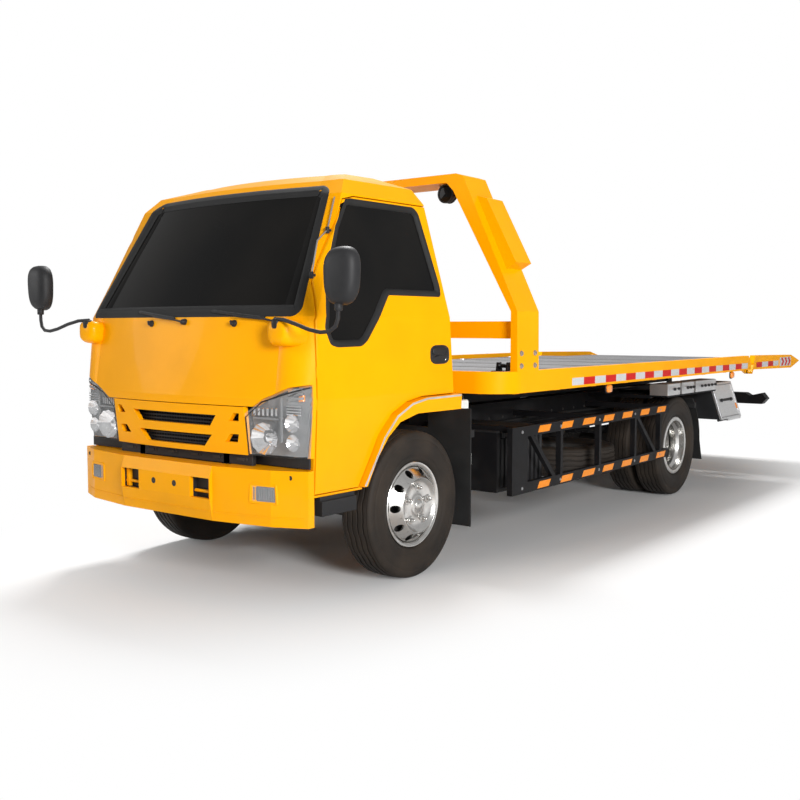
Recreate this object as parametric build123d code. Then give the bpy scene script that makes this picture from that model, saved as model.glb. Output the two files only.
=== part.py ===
"""Flatbed tow truck: a tilting cab, steered front wheels and a tilting, sliding bed on a ladder frame.

Millimetres. X is the vehicle's left, Y runs rearwards from the front axle and Z up from the ground.
export() moves the whole to the middle of its length, so the truck faces -Y about the origin.
"""
import math
import os

from build123d import *

# Driving dimensions
wheelbase = 3360
front_overhang = 950
tail_overhang = 2650
tyre_radius = 387.5
tyre_width = 200
rim_radius = 203
front_wheel_x = 765
rear_outer_wheel_x = 820
rear_inner_wheel_x = 585
frame_half_width = 350
frame_bottom_z = 560
frame_top_z = 740
bed_half_width = 1081
bed_front_y = 500
bed_overhang = 1225
bed_end_y = wheelbase + bed_overhang
rail_bottom_z = 943
rail_top_z = 1066
cab_wall = 45
shut_gap = 6
seat_clearance = 0.3
pin_clearance = 0.05
overrun = 40

# Where the moving pieces turn
kingpin_x = 680
cab_pivot_y, cab_pivot_z = -800, 700
tilt_pivot_overhang = 1190
tilt_pivot_y, tilt_pivot_z = wheelbase + tilt_pivot_overhang, 770
tail_pivot_gap = 37
tail_pivot_y, tail_pivot_z = bed_end_y + tail_pivot_gap, 928
boom_pivot_overhang = 940
boom_pivot_y, boom_pivot_z = wheelbase + boom_pivot_overhang, 625

middle_y = (wheelbase + tail_overhang - front_overhang) / 2
both_sides = (1, -1)


def block(x0, x1, y0, y1, z0, z1):
    return Pos((x0 + x1) / 2, (y0 + y1) / 2, (z0 + z1) / 2) * Box(abs(x1 - x0), abs(y1 - y0), abs(z1 - z0))


def outline(points, grow=0):
    """A face from its corners, moved out by a distance on every side with its corners kept."""
    face = make_face(Polyline(*points, close=True))
    return offset(face, grow, kind=Kind.INTERSECTION) if grow else face


def prism_x(points, x0, x1, grow=0):
    """Extrude a (y, z) outline from x0 to x1."""
    return extrude(Plane.YZ.offset(min(x0, x1)) * outline(points, grow), amount=abs(x1 - x0))


def prism_y(points, y0, y1, grow=0):
    """Extrude an (x, z) outline from y0 to y1."""
    return extrude(Plane.XZ.offset(-max(y0, y1)) * outline(points, grow), amount=abs(y1 - y0))


def prism_z(points, z0, z1):
    """Extrude an (x, y) outline from z0 to z1."""
    return extrude(Plane.XY.offset(min(z0, z1)) * outline(points), amount=abs(z1 - z0))


def rod_x(radius, x0, x1, y, z):
    return Pos((x0 + x1) / 2, y, z) * Rot(0, 90, 0) * Cylinder(radius, abs(x1 - x0))


def rod_y(radius, y0, y1, x, z):
    return Pos(x, (y0 + y1) / 2, z) * Rot(90, 0, 0) * Cylinder(radius, abs(y1 - y0))


def rod_z(radius, z0, z1, x, y):
    return Pos(x, y, (z0 + z1) / 2) * Cylinder(radius, abs(z1 - z0))


def turned_x(profile, x, y, z):
    """Turn an (x, radius) outline about the X axis and set it at a wheel's centre."""
    return Pos(x, y, z) * revolve(Plane.XZ * outline(profile), axis=Axis.X)


def mirrored(shape):
    return mirror(shape, about=Plane.YZ)


def pair(shape):
    return [shape, mirrored(shape)]


def bar(start, end, width, height):
    """A straight bar of rectangular section between two (x, y, z) points."""
    run = Vector(*end) - Vector(*start)
    side = Plane(origin=start, z_dir=run)
    return extrude(side * Rectangle(width, height), amount=run.length)


def export(name, *shapes):
    pieces = [Pos(0, -middle_y, 0) * shape for shape in shapes]
    solids = [solid for piece in pieces for solid in piece.solids()]
    export_step(Compound(children=solids) if len(solids) > 1 else solids[0], f"parts/{name}.step")


# Cab body: closed outlines at rising heights, lofted straight from one to the next
cab_nose_y = -905
cab_rear_y = 386
cab_half_width = 875
cab_bottom_z = 520
cab_roof_z = 2095
cab_length = cab_rear_y - cab_nose_y
cab_height = cab_roof_z - cab_bottom_z
cab_front_width_share = 0.967
nose_flat_share = 0.80
nose_sag_share = 0.045
corner_bulge_share = 0.55
rear_round_share = 0.05
# height, half width, set-back of the nose, of the front corner and of the rear wall
cab_section_shares = [
    (0.000, 0.975, 0.040, 0.125, 0.000),
    (0.290, 1.000, 0.000, 0.125, 0.000),
    (0.535, 0.992, 0.040, 0.132, 0.020),
    (0.915, 0.875, 0.305, 0.355, 0.100),
    (0.965, 0.815, 0.365, 0.415, 0.130),
    (1.000, 0.650, 0.490, 0.550, 0.240),
]


def cab_outline(shares, inset, level):
    height, width, nose, corner, rear = shares
    half = cab_half_width * width - inset
    front_half = cab_half_width * width * cab_front_width_share - inset
    nose_y = cab_nose_y + cab_length * nose + inset
    corner_y = cab_nose_y + cab_length * corner + inset
    rear_y = cab_rear_y - cab_length * rear - inset
    round_y = cab_length * rear_round_share
    flat_x = front_half * nose_flat_share
    flat_y = nose_y + cab_length * nose_sag_share
    bulge_x = flat_x + (front_half - flat_x) * (corner_bulge_share + 1) / 2
    bulge_y = flat_y + (corner_y - flat_y) * (1 - corner_bulge_share)
    z = level
    edges = [
        Line((half, rear_y - round_y, z), (front_half, corner_y, z)),
        ThreePointArc((front_half, corner_y, z), (bulge_x, bulge_y, z), (flat_x, flat_y, z)),
        ThreePointArc((flat_x, flat_y, z), (0, nose_y, z), (-flat_x, flat_y, z)),
        ThreePointArc((-flat_x, flat_y, z), (-bulge_x, bulge_y, z), (-front_half, corner_y, z)),
        Line((-front_half, corner_y, z), (-half, rear_y - round_y, z)),
        Line((-half, rear_y - round_y, z), (-half + round_y, rear_y, z)),
        Line((-half + round_y, rear_y, z), (half - round_y, rear_y, z)),
        Line((half - round_y, rear_y, z), (half, rear_y - round_y, z)),
    ]
    return make_face(Wire(edges))


def cab_form(inset=0):
    levels = [cab_bottom_z + cab_height * shares[0] for shares in cab_section_shares]
    levels[0] -= abs(inset)
    levels[-1] -= inset
    faces = [cab_outline(shares, inset, level) for shares, level in zip(cab_section_shares, levels)]
    return loft(faces, ruled=True)


def cab_points(shares):
    """(y, z) points of the cab's side from shares of its length and height."""
    return [(cab_nose_y + cab_length * along, cab_bottom_z + cab_height * up) for along, up in shares]


def front_points(shares):
    """(x, z) points of the cab's front from shares of its half width and height."""
    return [(cab_half_width * across, cab_bottom_z + cab_height * up) for across, up in shares]


# Cab side: outlines in shares of the cab's length and height, from the front bottom corner
door_shares = [
    (0.127, 0.010), (0.127, 0.522), (0.172, 0.640), (0.356, 0.893), (0.420, 0.906),
    (0.905, 0.906), (0.960, 0.655), (0.968, 0.520), (0.968, 0.278), (0.735, 0.276),
    (0.640, 0.263), (0.545, 0.227), (0.470, 0.165), (0.420, 0.090), (0.362, 0.010),
]
side_window_shares = [
    (0.205, 0.455), (0.178, 0.500), (0.210, 0.650), (0.345, 0.880), (0.385, 0.895),
    (0.775, 0.895), (0.800, 0.880), (0.880, 0.640), (0.880, 0.610), (0.545, 0.610),
    (0.400, 0.465), (0.370, 0.450), (0.240, 0.448),
]
arch_shares = [
    (0.385, -0.100), (0.385, 0.010), (0.440, 0.095), (0.500, 0.157), (0.570, 0.200),
    (0.680, 0.222), (1.100, 0.222), (1.100, -0.100),
]
flare_shares = [
    (0.366, 0.010), (0.424, 0.090), (0.474, 0.161), (0.549, 0.223), (0.643, 0.259),
    (0.737, 0.272), (0.980, 0.274), (0.980, 0.222), (0.680, 0.222), (0.570, 0.200),
    (0.500, 0.157), (0.440, 0.095), (0.385, 0.010),
]
flare_proud = 34
flare_inner_x = 700
floor_z = 925
floor_thickness = 40
footwell_rear_y = -425
roof_split_z = 1962
belt_split_z = 1352
hood_bottom_z = 940
face_bottom_z = 705
face_depth_y = -762
under_face_y = -750
lamp_depth_y = face_depth_y - seat_clearance
door_axis_x = 843
lamp_top_shares = [(0.565, 0.245), (0.700, 0.290), (0.860, 0.325), (1.100, 0.345)]
# the windscreen ends at this line down the side, in front of the pillars
windscreen_line_shares = [(-0.100, 0.500), (0.150, 0.500), (0.420, 0.930), (0.420, 1.000), (-0.100, 1.000)]
door_zone_shares = [
    (0.900, -0.100), (0.900, 0.290), (0.900, 0.535), (0.790, 0.915), (0.740, 0.965),
    (1.200, 0.965), (1.200, -0.100),
]
windscreen_shares = [
    (-0.850, 0.553), (-0.730, 0.912), (-0.680, 0.928), (0.680, 0.928), (0.730, 0.912), (0.850, 0.553),
]
rear_window_shares = [
    (-0.600, 0.640), (-0.560, 0.860), (-0.540, 0.872), (0.540, 0.872), (0.560, 0.860), (0.600, 0.640),
]
glass_thickness = 6
window_rebate = 14
sill_inner_x = 640
panel_gap = 4
grille_wall = 26
grille_stay_x0, grille_stay_x1 = 420, 460
door_knuckles_z = [(930, 980), (1080, 1130)]
door_knuckle_width = 5


def lamp_outline():
    top = front_points(lamp_top_shares)
    return [(top[0][0], face_bottom_z)] + top + [(top[-1][0], face_bottom_z)]


def side_cut(points, grow=0):
    """Both side prisms of a (y, z) outline, outside a line that leans in with the doors.

    The two prisms are one shape, so one cut opens both sides.
    """
    cut = prism_x(points, sill_inner_x - overrun, cab_half_width + overrun, grow)
    cut = cut & prism_y(front_points(door_zone_shares), cab_nose_y, cab_rear_y, grow)
    return cut + mirrored(cut)


def front_cut(points):
    """A prism of an (x, z) outline from the nose back to the line of the pillars."""
    line = prism_x(cab_points(windscreen_line_shares), -cab_half_width, cab_half_width)
    return prism_y(points, cab_nose_y - overrun, 0) & line


def cab_skin():
    cavity = cab_form(cab_wall)
    footwell = block(-cab_half_width, cab_half_width, cab_nose_y, footwell_rear_y, 0,
                     floor_z - floor_thickness)
    room = block(-cab_half_width, cab_half_width, cab_nose_y, cab_rear_y, floor_z, cab_roof_z)
    under = block(-sill_inner_x, sill_inner_x, cab_nose_y, cab_rear_y + overrun, 0, floor_z - floor_thickness)
    hollow = (cavity & room) + (cavity & footwell) + (under - block(
        -cab_half_width, cab_half_width, cab_nose_y - overrun, face_depth_y, 0, cab_roof_z))
    return cab_form() - hollow


def cab_parts():
    arch = prism_x(cab_points(arch_shares), -cab_half_width - overrun, cab_half_width + overrun)
    windscreen_cut = front_cut(front_points(windscreen_shares))
    rear_cut = prism_y(front_points(rear_window_shares), 0, cab_rear_y + overrun)
    skin = cab_skin() - windscreen_cut - rear_cut - arch
    top = block(-cab_half_width, cab_half_width, cab_nose_y, cab_rear_y, roof_split_z, cab_roof_z)
    roof = skin & top

    lamps = prism_y(lamp_outline(), cab_nose_y - overrun, lamp_depth_y)
    lamps = lamps + mirrored(lamps)
    width = cab_half_width + overrun
    face_zone = block(-width, width, cab_nose_y - overrun, face_depth_y, face_bottom_z, belt_split_z)
    hood_zone = block(-width, width, cab_nose_y - overrun, face_depth_y, hood_bottom_z, belt_split_z)
    grille_half = front_points(lamp_top_shares)[0][0] - panel_gap
    grille_zone = block(-grille_half, grille_half, cab_nose_y - overrun, face_depth_y,
                        face_bottom_z, hood_bottom_z - panel_gap)
    lamp_gap = prism_y(lamp_outline(), cab_nose_y - overrun, lamp_depth_y, panel_gap)
    lamp_gap = lamp_gap + mirrored(lamp_gap)
    hood = (skin & hood_zone) - lamp_gap
    grille = (skin - cab_form(grille_wall)) & grille_zone
    stay = block(grille_stay_x0, grille_stay_x1, cab_nose_y + grille_wall * 2, face_depth_y - seat_clearance,
                 floor_z - floor_thickness, floor_z) & cab_form(grille_wall / 2)
    grille = grille + stay + mirrored(stay)
    headlamps = cab_form() & lamps & block(-width, width, cab_nose_y, lamp_depth_y, 0, cab_roof_z)
    below = block(-width, width, cab_nose_y - overrun, under_face_y, 0, face_bottom_z)

    door_hole = side_cut(cab_points(door_shares), shut_gap)
    shell = skin - door_hole - top - face_zone - lamp_gap - below
    flare = cab_form(-flare_proud) & prism_x(cab_points(flare_shares), flare_inner_x,
                                             cab_half_width + flare_proud)
    flare = flare - cab_form()

    doors = skin & side_cut(cab_points(door_shares))
    door_top_z = roof_split_z - shut_gap
    doors = doors & (block(-width, -sill_inner_x, cab_nose_y, cab_rear_y, cab_bottom_z, door_top_z)
                     + block(sill_inner_x, width, cab_nose_y, cab_rear_y, cab_bottom_z, door_top_z))
    doors = doors - side_cut(cab_points(side_window_shares))

    pane = cab_form(window_rebate) - cab_form(window_rebate + glass_thickness)
    door_glass = pane & side_cut(cab_points(side_window_shares))
    front_glass = pane & front_cut(front_points(windscreen_shares))
    rear_glass = pane & prism_y(front_points(rear_window_shares), 0, cab_rear_y)
    return dict(roof=roof, hood=hood, grille=grille, headlamps=headlamps, shell=shell, flare=flare,
                doors=doors, door_glass=door_glass, cab_glass=(front_glass, rear_glass))


def door_knuckles():
    """Upright barrels in the left door's front shut line, on the line that the door turns about."""
    edge_y = cab_points(door_shares)[0][0]
    axis_y = edge_y - shut_gap / 2
    barrels = []
    for z0, z1 in door_knuckles_z:
        barrel = rod_z(shut_gap / 2 - seat_clearance, z0, z1, door_axis_x, axis_y)
        leaf = block(door_axis_x - door_knuckle_width, door_axis_x, axis_y, edge_y + shut_gap / 2, z0, z1)
        barrels.append(barrel + leaf)
    return barrels


def side_of(shape, side):
    """The solids of a shape that lie on one side of the vehicle."""
    return [solid for solid in shape.solids() if solid.center().X * side > 0]


def largest(shape):
    return max(shape.solids(), key=lambda solid: solid.volume)


# Grille openings: corners in shares of the grille's half width and height
grille_slot_shares = [
    [(-0.637, 0.80), (0.637, 0.80), (0.547, 0.563), (-0.547, 0.563)],
    [(-0.559, 0.374), (0.559, 0.374), (0.443, 0.117), (-0.443, 0.117)],
]
# and those of the small openings beside them on one side
grille_corner_shares = [
    [(0.80, 0.697), (0.867, 0.866), (0.937, 0.866), (0.925, 0.697)],
    [(0.731, 0.251), (0.80, 0.424), (0.912, 0.424), (0.89, 0.251)],
]


def grille_slots(grille):
    box = grille.bounding_box()
    mirrored_shares = [[(-x, z) for x, z in corners] for corners in grille_corner_shares]
    for corners in grille_slot_shares + grille_corner_shares + mirrored_shares:
        points = [(box.size.X / 2 * x, box.min.Z + box.size.Z * z) for x, z in corners]
        grille = grille - prism_y(points, box.min.Y - overrun, box.max.Y + overrun)
    return grille


# Cab inside
seat_half_width = 700
seat_front_y, seat_rear_y = -290, 165
seat_base_z = floor_z
seat_top_z = 1270
seat_back_top_z = 1690
seat_back_thickness = 130
seat_backrest_lean = 60
seat_gap = 40
driver_seat_width = 520
dash_rear_y = -520
dash_bottom_z, dash_top_z = 1130, 1345
wheel_ring_radius = 205
wheel_ring_tube = 16
wheel_ring_x = 400
wheel_ring_y, wheel_ring_z = -345, 1425
wheel_ring_tilt = 35
column_radius = 25
spoke_width = 26


def seats():
    driver_x0 = seat_half_width - driver_seat_width
    spans = [(driver_x0, seat_half_width), (-seat_half_width, driver_x0 - seat_gap)]
    back_y = seat_rear_y - seat_back_thickness
    profile = [
        (seat_front_y, seat_base_z), (seat_front_y, seat_top_z), (back_y, seat_top_z),
        (back_y + seat_backrest_lean, seat_back_top_z), (seat_rear_y + seat_backrest_lean, seat_back_top_z),
        (seat_rear_y, seat_base_z),
    ]
    return [prism_x(profile, x0, x1) for x0, x1 in spans]


def dashboard():
    zone = block(-cab_half_width, cab_half_width, cab_nose_y, dash_rear_y, dash_bottom_z, dash_top_z)
    doors_clear = cab_half_width * cab_front_width_share - cab_wall - shut_gap
    zone = zone & block(-doors_clear, doors_clear, cab_nose_y, dash_rear_y, 0, cab_roof_z)
    body = cab_form(cab_wall + seat_clearance) & zone
    tilted = Pos(wheel_ring_x, wheel_ring_y, wheel_ring_z) * Rot(-wheel_ring_tilt, 0, 0)
    ring = tilted * Torus(wheel_ring_radius, wheel_ring_tube)
    spokes = tilted * Box(wheel_ring_radius * 2, spoke_width, wheel_ring_tube)
    hub_plane = tilted * Rot(180, 0, 0)
    column = hub_plane * Pos(0, 0, wheel_ring_radius) * Cylinder(column_radius, wheel_ring_radius * 2)
    return largest(body + ring + spokes + column)


# Mirrors: an arm from the front pillar to an upright head
mirror_base_x, mirror_base_y, mirror_base_z = 690, -868, 1345
mirror_arm_radius = 11
mirror_head_x, mirror_head_y = 1130, -895
mirror_head_low_z, mirror_head_high_z = 1400, 1668
mirror_head_width, mirror_head_depth = 195, 75
mirror_head_round = 30
mirror_elbow_z = 1330
mirror_dip = 35
mirror_base_size = 70


def mirrors():
    base = block(mirror_base_x - mirror_base_size / 2, mirror_base_x + mirror_base_size / 2, mirror_base_y,
                 mirror_base_y + cab_wall * 2, mirror_base_z - mirror_base_size / 2,
                 mirror_base_z + mirror_base_size / 2)
    base = base - cab_form()
    head = Pos(mirror_head_x, mirror_head_y, (mirror_head_low_z + mirror_head_high_z) / 2) * Box(
        mirror_head_width, mirror_head_depth, mirror_head_high_z - mirror_head_low_z)
    head = fillet(head.edges(), mirror_head_round)
    path = FilletPolyline(
        (mirror_base_x, mirror_base_y, mirror_base_z),
        ((mirror_base_x + mirror_head_x) / 2, mirror_head_y, mirror_base_z),
        (mirror_head_x - mirror_base_size, mirror_head_y, mirror_elbow_z - mirror_dip),
        (mirror_head_x, mirror_head_y, mirror_elbow_z),
        (mirror_head_x, mirror_head_y, mirror_head_low_z + mirror_head_round),
        radius=mirror_arm_radius * 2)
    arm = sweep(Plane(origin=path @ 0, z_dir=path % 0) * Circle(mirror_arm_radius), path=path)
    whole = largest(base + arm + head)
    return pair(whole)


# Steps under the doors
step_z0, step_z1 = 430, 500
step_y0, step_y1 = -720, -470
step_x0, step_x1 = 640, 850
step_hanger_x = 812
step_hanger = 25


def cab_steps():
    tread = block(step_x0, step_x1, step_y0, step_y1, step_z0, step_z1)
    hanger = block(step_hanger_x, step_hanger_x + step_hanger, step_y0, step_y1, step_z1, cab_bottom_z)
    return pair(tread + hanger)


# Bumper
bumper_front_y = -950
bumper_bottom_z, bumper_top_z = 385, 650
bumper_half_width = 838
bumper_depth = 190
bumper_corner_share = 0.80
bumper_sweep = 75
bumper_wall = 60
bumper_hole_z0, bumper_hole_z1 = 490, 590
bumper_hole_x0, bumper_hole_x1 = 195, 335
fog_x0, fog_x1 = 590, 690
fog_z0, fog_z1 = 500, 572
fog_depth = 60
bumper_arm = 26
bumper_arm_z = 572
bumper_lug_gap = 12


def bumper_plan(inset):
    front = bumper_front_y + inset
    corner = bumper_half_width * bumper_corner_share - inset / 2
    half = bumper_half_width - inset
    back = bumper_front_y + bumper_depth + inset * 2
    swept = front + bumper_sweep
    nose = front + bumper_sweep / 4
    return [(-half, back), (-half, swept + bumper_sweep), (-corner, swept), (-corner / 2, nose),
            (corner / 2, nose), (corner, swept), (half, swept + bumper_sweep), (half, back)]


def bumper():
    bar_solid = prism_z(bumper_plan(0), bumper_bottom_z, bumper_top_z)
    nose = bumper_front_y + bumper_sweep / 4
    rib_half = bumper_half_width * bumper_corner_share / 2
    rib = prism_x([(bumper_front_y, bumper_hole_z0), (bumper_front_y, bumper_hole_z1), (nose, bumper_top_z),
                   (nose + bumper_wall, bumper_top_z), (nose + bumper_wall, bumper_bottom_z),
                   (nose, bumper_bottom_z)], -rib_half, rib_half)
    hollow = prism_z(bumper_plan(bumper_wall), bumper_bottom_z, bumper_top_z - bumper_wall / 2)
    lug_room = block(-frame_half_width, frame_half_width, cab_pivot_y - cab_lug_half - bumper_lug_gap, 0,
                     bumper_top_z - bumper_wall, bumper_top_z + overrun)
    solid = bar_solid + rib - hollow - lug_room
    for side in both_sides:
        solid = solid - block(side * bumper_hole_x0, side * bumper_hole_x1, bumper_front_y - overrun,
                              bumper_front_y + bumper_wall * 2, bumper_hole_z0, bumper_hole_z1)
        solid = solid - block(side * fog_x0, side * fog_x1, bumper_front_y - overrun,
                              bumper_front_y + bumper_sweep + fog_depth, fog_z0, fog_z1)
        solid = solid + block(side * frame_half_width, side * (frame_half_width + bumper_arm),
                              bumper_front_y + bumper_wall, frame_front_y + bumper_wall * 2,
                              bumper_arm_z, bumper_arm_z + bumper_arm * 2)
    return solid


def fog_lamps():
    front = bumper_front_y + bumper_sweep
    lamp = block(fog_x0, fog_x1, front, front + fog_depth, fog_z0, fog_z1)
    return pair(lamp)


# Ladder frame
rail_flange = 60
rail_web = 7
frame_front_y = -770
frame_overhang = 1240
frame_rear_y = wheelbase + frame_overhang
# cross members: places in shares of the frame's length
cross_member_shares = [0.015, 0.376, 0.6275, 0.8695]
cross_member_depth = 60
cross_height = 90


def channel(x_outer, side, y0, y1, z0, z1, flange, web):
    """A C-section rail, open towards the middle of the vehicle."""
    whole = block(side * x_outer, side * (x_outer - flange), y0, y1, z0, z1)
    inner = block(side * (x_outer - web), side * (x_outer - flange - overrun), y0 - overrun, y1 + overrun,
                  z0 + web, z1 - web)
    return whole - inner


def chassis_frame():
    frame = None
    for side in both_sides:
        rail = channel(frame_half_width, side, frame_front_y, frame_rear_y, frame_bottom_z, frame_top_z,
                       rail_flange, rail_web)
        frame = rail if frame is None else frame + rail
    middle_z = (frame_bottom_z + frame_top_z) / 2
    inner = frame_half_width - rail_web
    for share in cross_member_shares:
        y = frame_front_y + (frame_rear_y - frame_front_y) * share
        frame = frame + block(-inner, inner, y - cross_member_depth / 2, y + cross_member_depth / 2,
                              middle_z - cross_height / 2, middle_z + cross_height / 2)
    for side in both_sides:
        lug = block(side * cab_lug_x0, side * cab_lug_x1, cab_pivot_y - cab_lug_half,
                    frame_front_y + rail_flange, frame_bottom_z, cab_pivot_z + cab_lug_half)
        frame = frame + lug
    reach = frame_half_width + overrun
    return frame - rod_x(cab_pin_radius + pin_clearance, -reach, reach, cab_pivot_y, cab_pivot_z)


# Cab tilt hinge
cab_lug_x0, cab_lug_x1 = 300, 340
cab_lug_half = 22
cab_pin_radius = 14
cab_pin_plate = 12
cab_plate_y1 = -670


# Axles
axle_beam_width, axle_beam_height = 70, 60
axle_beam_drop = 75
axle_fork_height = 150
axle_fork_lug = 26
axle_fork_width = 74
axle_fork_reach = 27
kingpin_radius = 18
spindle_radius = 26
axle_tube_radius = 55
rear_spindle_radius = 36
banjo_radius = 165
banjo_width = 190
diff_nose_length = 240
diff_nose_radius = 70
rear_spindle_x = 760
hub_height = tyre_radius


def axles():
    beam_y = axle_beam_width / 2
    low = hub_height - axle_beam_drop
    inner = kingpin_x - axle_fork_width / 2 - overrun
    bend = spring_front_x + spring_width
    profile = [
        (-inner, hub_height - axle_beam_height / 2), (-bend, low - axle_beam_height / 2),
        (bend, low - axle_beam_height / 2), (inner, hub_height - axle_beam_height / 2),
        (inner, hub_height + axle_beam_height / 2), (bend, low + axle_beam_height / 2),
        (-bend, low + axle_beam_height / 2), (-inner, hub_height + axle_beam_height / 2),
    ]
    front = prism_y(profile, -beam_y, beam_y)
    for side in both_sides:
        x0, x1 = side * (inner - overrun), side * (kingpin_x + axle_fork_reach)
        post_x = side * (kingpin_x - axle_fork_width / 2 - seat_clearance)
        post = block(x0, post_x, -beam_y, beam_y, hub_height - axle_fork_height / 2,
                     hub_height + axle_fork_height / 2)
        top = block(x0, x1, -beam_y, beam_y, hub_height + axle_fork_height / 2 - axle_fork_lug,
                    hub_height + axle_fork_height / 2)
        low_lug = block(x0, x1, -beam_y, beam_y, hub_height - axle_fork_height / 2,
                        hub_height - axle_fork_height / 2 + axle_fork_lug)
        pin = rod_z(kingpin_radius, hub_height - axle_fork_height / 2, hub_height + axle_fork_height / 2,
                    side * kingpin_x, 0)
        front = front + post + top + low_lug + pin
    front_pad_z = low + axle_beam_height / 2
    for side in both_sides:
        x0, x1 = side * (spring_front_x - spring_width / 2), side * (spring_front_x + spring_width / 2)
        front = front + block(x0, x1, -spring_pad / 2, spring_pad / 2, front_pad_z - axle_beam_height / 2,
                              spring_low_z)
    tube = rod_x(axle_tube_radius, -axle_shoulder_x, axle_shoulder_x, wheelbase, hub_height)
    rear = tube + rod_x(rear_spindle_radius, -rear_spindle_x, rear_spindle_x, wheelbase, hub_height)
    rear = rear + rod_x(banjo_radius, -banjo_width / 2, banjo_width / 2, wheelbase, hub_height)
    rear = rear + rod_y(diff_nose_radius, wheelbase - diff_nose_length, wheelbase, 0, hub_height)
    for side in both_sides:
        x0, x1 = side * (spring_rear_x - spring_width / 2), side * (spring_rear_x + spring_width / 2)
        rear = rear + block(x0, x1, wheelbase - spring_pad / 2, wheelbase + spring_pad / 2, hub_height,
                            spring_low_z)
    return front, rear


axle_shoulder_x = 480

# Leaf springs: pairs of packs with their hangers, in a shallow bow under the frame
spring_front_x = 320
spring_rear_x = 320
spring_width = 60
spring_pad = 110
spring_low_z = 455
spring_leaf = 11
spring_leaf_count = 5
spring_eye_radius = 24
spring_eye_z = 522
spring_hanger_half = 15
front_spring_half, rear_spring_half = 520, 600
spring_packs = [(0, front_spring_half, spring_front_x), (wheelbase, rear_spring_half, spring_rear_x)]
leaf_step_share = 0.17


def leaf_pack(y, half, x):
    """Leaves of falling length drawn as one stepped outline, with an eye and a hanger at each end."""
    bow = spring_eye_z - spring_low_z - spring_leaf * spring_leaf_count

    def under(reach, leaves):
        return spring_low_z + spring_leaf * (spring_leaf_count - leaves) + bow * (reach / half) ** 2

    steps = [(0, under(0, spring_leaf_count))]
    for leaf in range(spring_leaf_count - 1, -1, -1):
        reach = half * (1 - leaf_step_share * leaf)
        steps += [(reach, under(reach, leaf + 1)), (reach, under(reach, leaf))]
    steps.append((half / 2, under(half / 2, 0)))
    ahead = [(y - reach, z) for reach, z in steps]
    behind = [(y + reach, z) for reach, z in reversed(steps[1:])]
    x0, x1 = x - spring_width / 2, x + spring_width / 2
    pack = prism_x(ahead + [(y, under(0, 0))] + behind, x0, x1)
    for end in both_sides:
        eye_y = y + end * half
        pack = pack + rod_x(spring_eye_radius, x0, x1, eye_y, spring_eye_z)
        pack = pack + block(x0, x1, eye_y - spring_hanger_half, eye_y + spring_hanger_half, spring_eye_z,
                            frame_bottom_z)
    return pack


def leaf_springs():
    packs = []
    for y, half, x in spring_packs:
        packs += pair(leaf_pack(y, half, x))
    return packs


# Engine, drive shaft, exhaust
engine_half_width = 255
engine_y0, engine_y1 = -360, 520
engine_z0, engine_z1 = 440, 870
gearbox_half_width = 160
gearbox_y1 = 1130
gearbox_z0, gearbox_z1 = 460, 700
engine_mount_z = 640


def engine():
    body = block(-engine_half_width, engine_half_width, engine_y0, engine_y1, engine_z0, engine_z1)
    body = body + block(-gearbox_half_width, gearbox_half_width, engine_y1, gearbox_y1, gearbox_z0,
                        gearbox_z1)
    reach = frame_half_width - rail_web
    body = body + block(-reach, reach, engine_y0 + overrun, engine_y0 + overrun * 2, engine_mount_z,
                        engine_mount_z + overrun)
    return body - block(-engine_half_width, engine_half_width, -axle_beam_width, axle_beam_width, 0,
                        spring_low_z + overrun)


shaft_radius = 38
shaft_z = 535
shaft_flange_radius = 60
shaft_flange = 14


def drive_shaft():
    y0, y1 = gearbox_y1, wheelbase - diff_nose_length
    run = Vector(0, y1 - y0, hub_height - shaft_z)
    tube = extrude(Plane(origin=(0, y0, shaft_z), z_dir=run) * Circle(shaft_radius), amount=run.length)
    tube = tube & block(-shaft_radius, shaft_radius, y0 + shaft_flange, y1 - shaft_flange, 0, frame_top_z)
    return (tube + rod_y(shaft_flange_radius, y0, y0 + shaft_flange, 0, shaft_z)
            + rod_y(shaft_flange_radius, y1 - shaft_flange, y1, 0, hub_height))


muffler_x, muffler_z = -215, 430
muffler_radius = 88
muffler_length = 600
muffler_spring_gap = 110
muffler_y1 = wheelbase - rear_spring_half - muffler_spring_gap
muffler_y0 = muffler_y1 - muffler_length
pipe_radius = 30
pipe_tail = 200
pipe_y1 = muffler_y1 + pipe_tail
muffler_bracket = 40


def exhaust():
    can = rod_y(muffler_radius, muffler_y0, muffler_y1, muffler_x, muffler_z)
    pipe = rod_y(pipe_radius, engine_y1, pipe_y1, muffler_x, engine_z0 + pipe_radius)
    hook_x = -frame_half_width + rail_flange / 2
    hook = block(hook_x - muffler_bracket / 2, hook_x + muffler_bracket / 2, muffler_y0 + muffler_bracket,
                 muffler_y0 + muffler_bracket * 2, muffler_z + muffler_radius / 2, frame_bottom_z)
    arm = block(hook_x, muffler_x, muffler_y0 + muffler_bracket, muffler_y0 + muffler_bracket * 2,
                muffler_z + muffler_radius / 2, muffler_z + muffler_radius / 2 + muffler_bracket / 2)
    return can + pipe + hook + arm


# Side boxes: fuel tank on the right, battery and tool box on the left
tank_x0, tank_x1 = frame_half_width, 880
tank_y0, tank_y1 = 760, 1650
tank_z0, tank_z1 = 350, 700
tank_round = 60
battery_y1 = 1290


def side_boxes():
    tank = block(-tank_x0, -tank_x1, tank_y0, tank_y1, tank_z0, tank_z1)
    tank = fillet(tank.edges().filter_by(Axis.Y), tank_round)
    battery = block(tank_x0, tank_x1, tank_y0, battery_y1, tank_z0, tank_z1)
    return tank, battery


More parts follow.
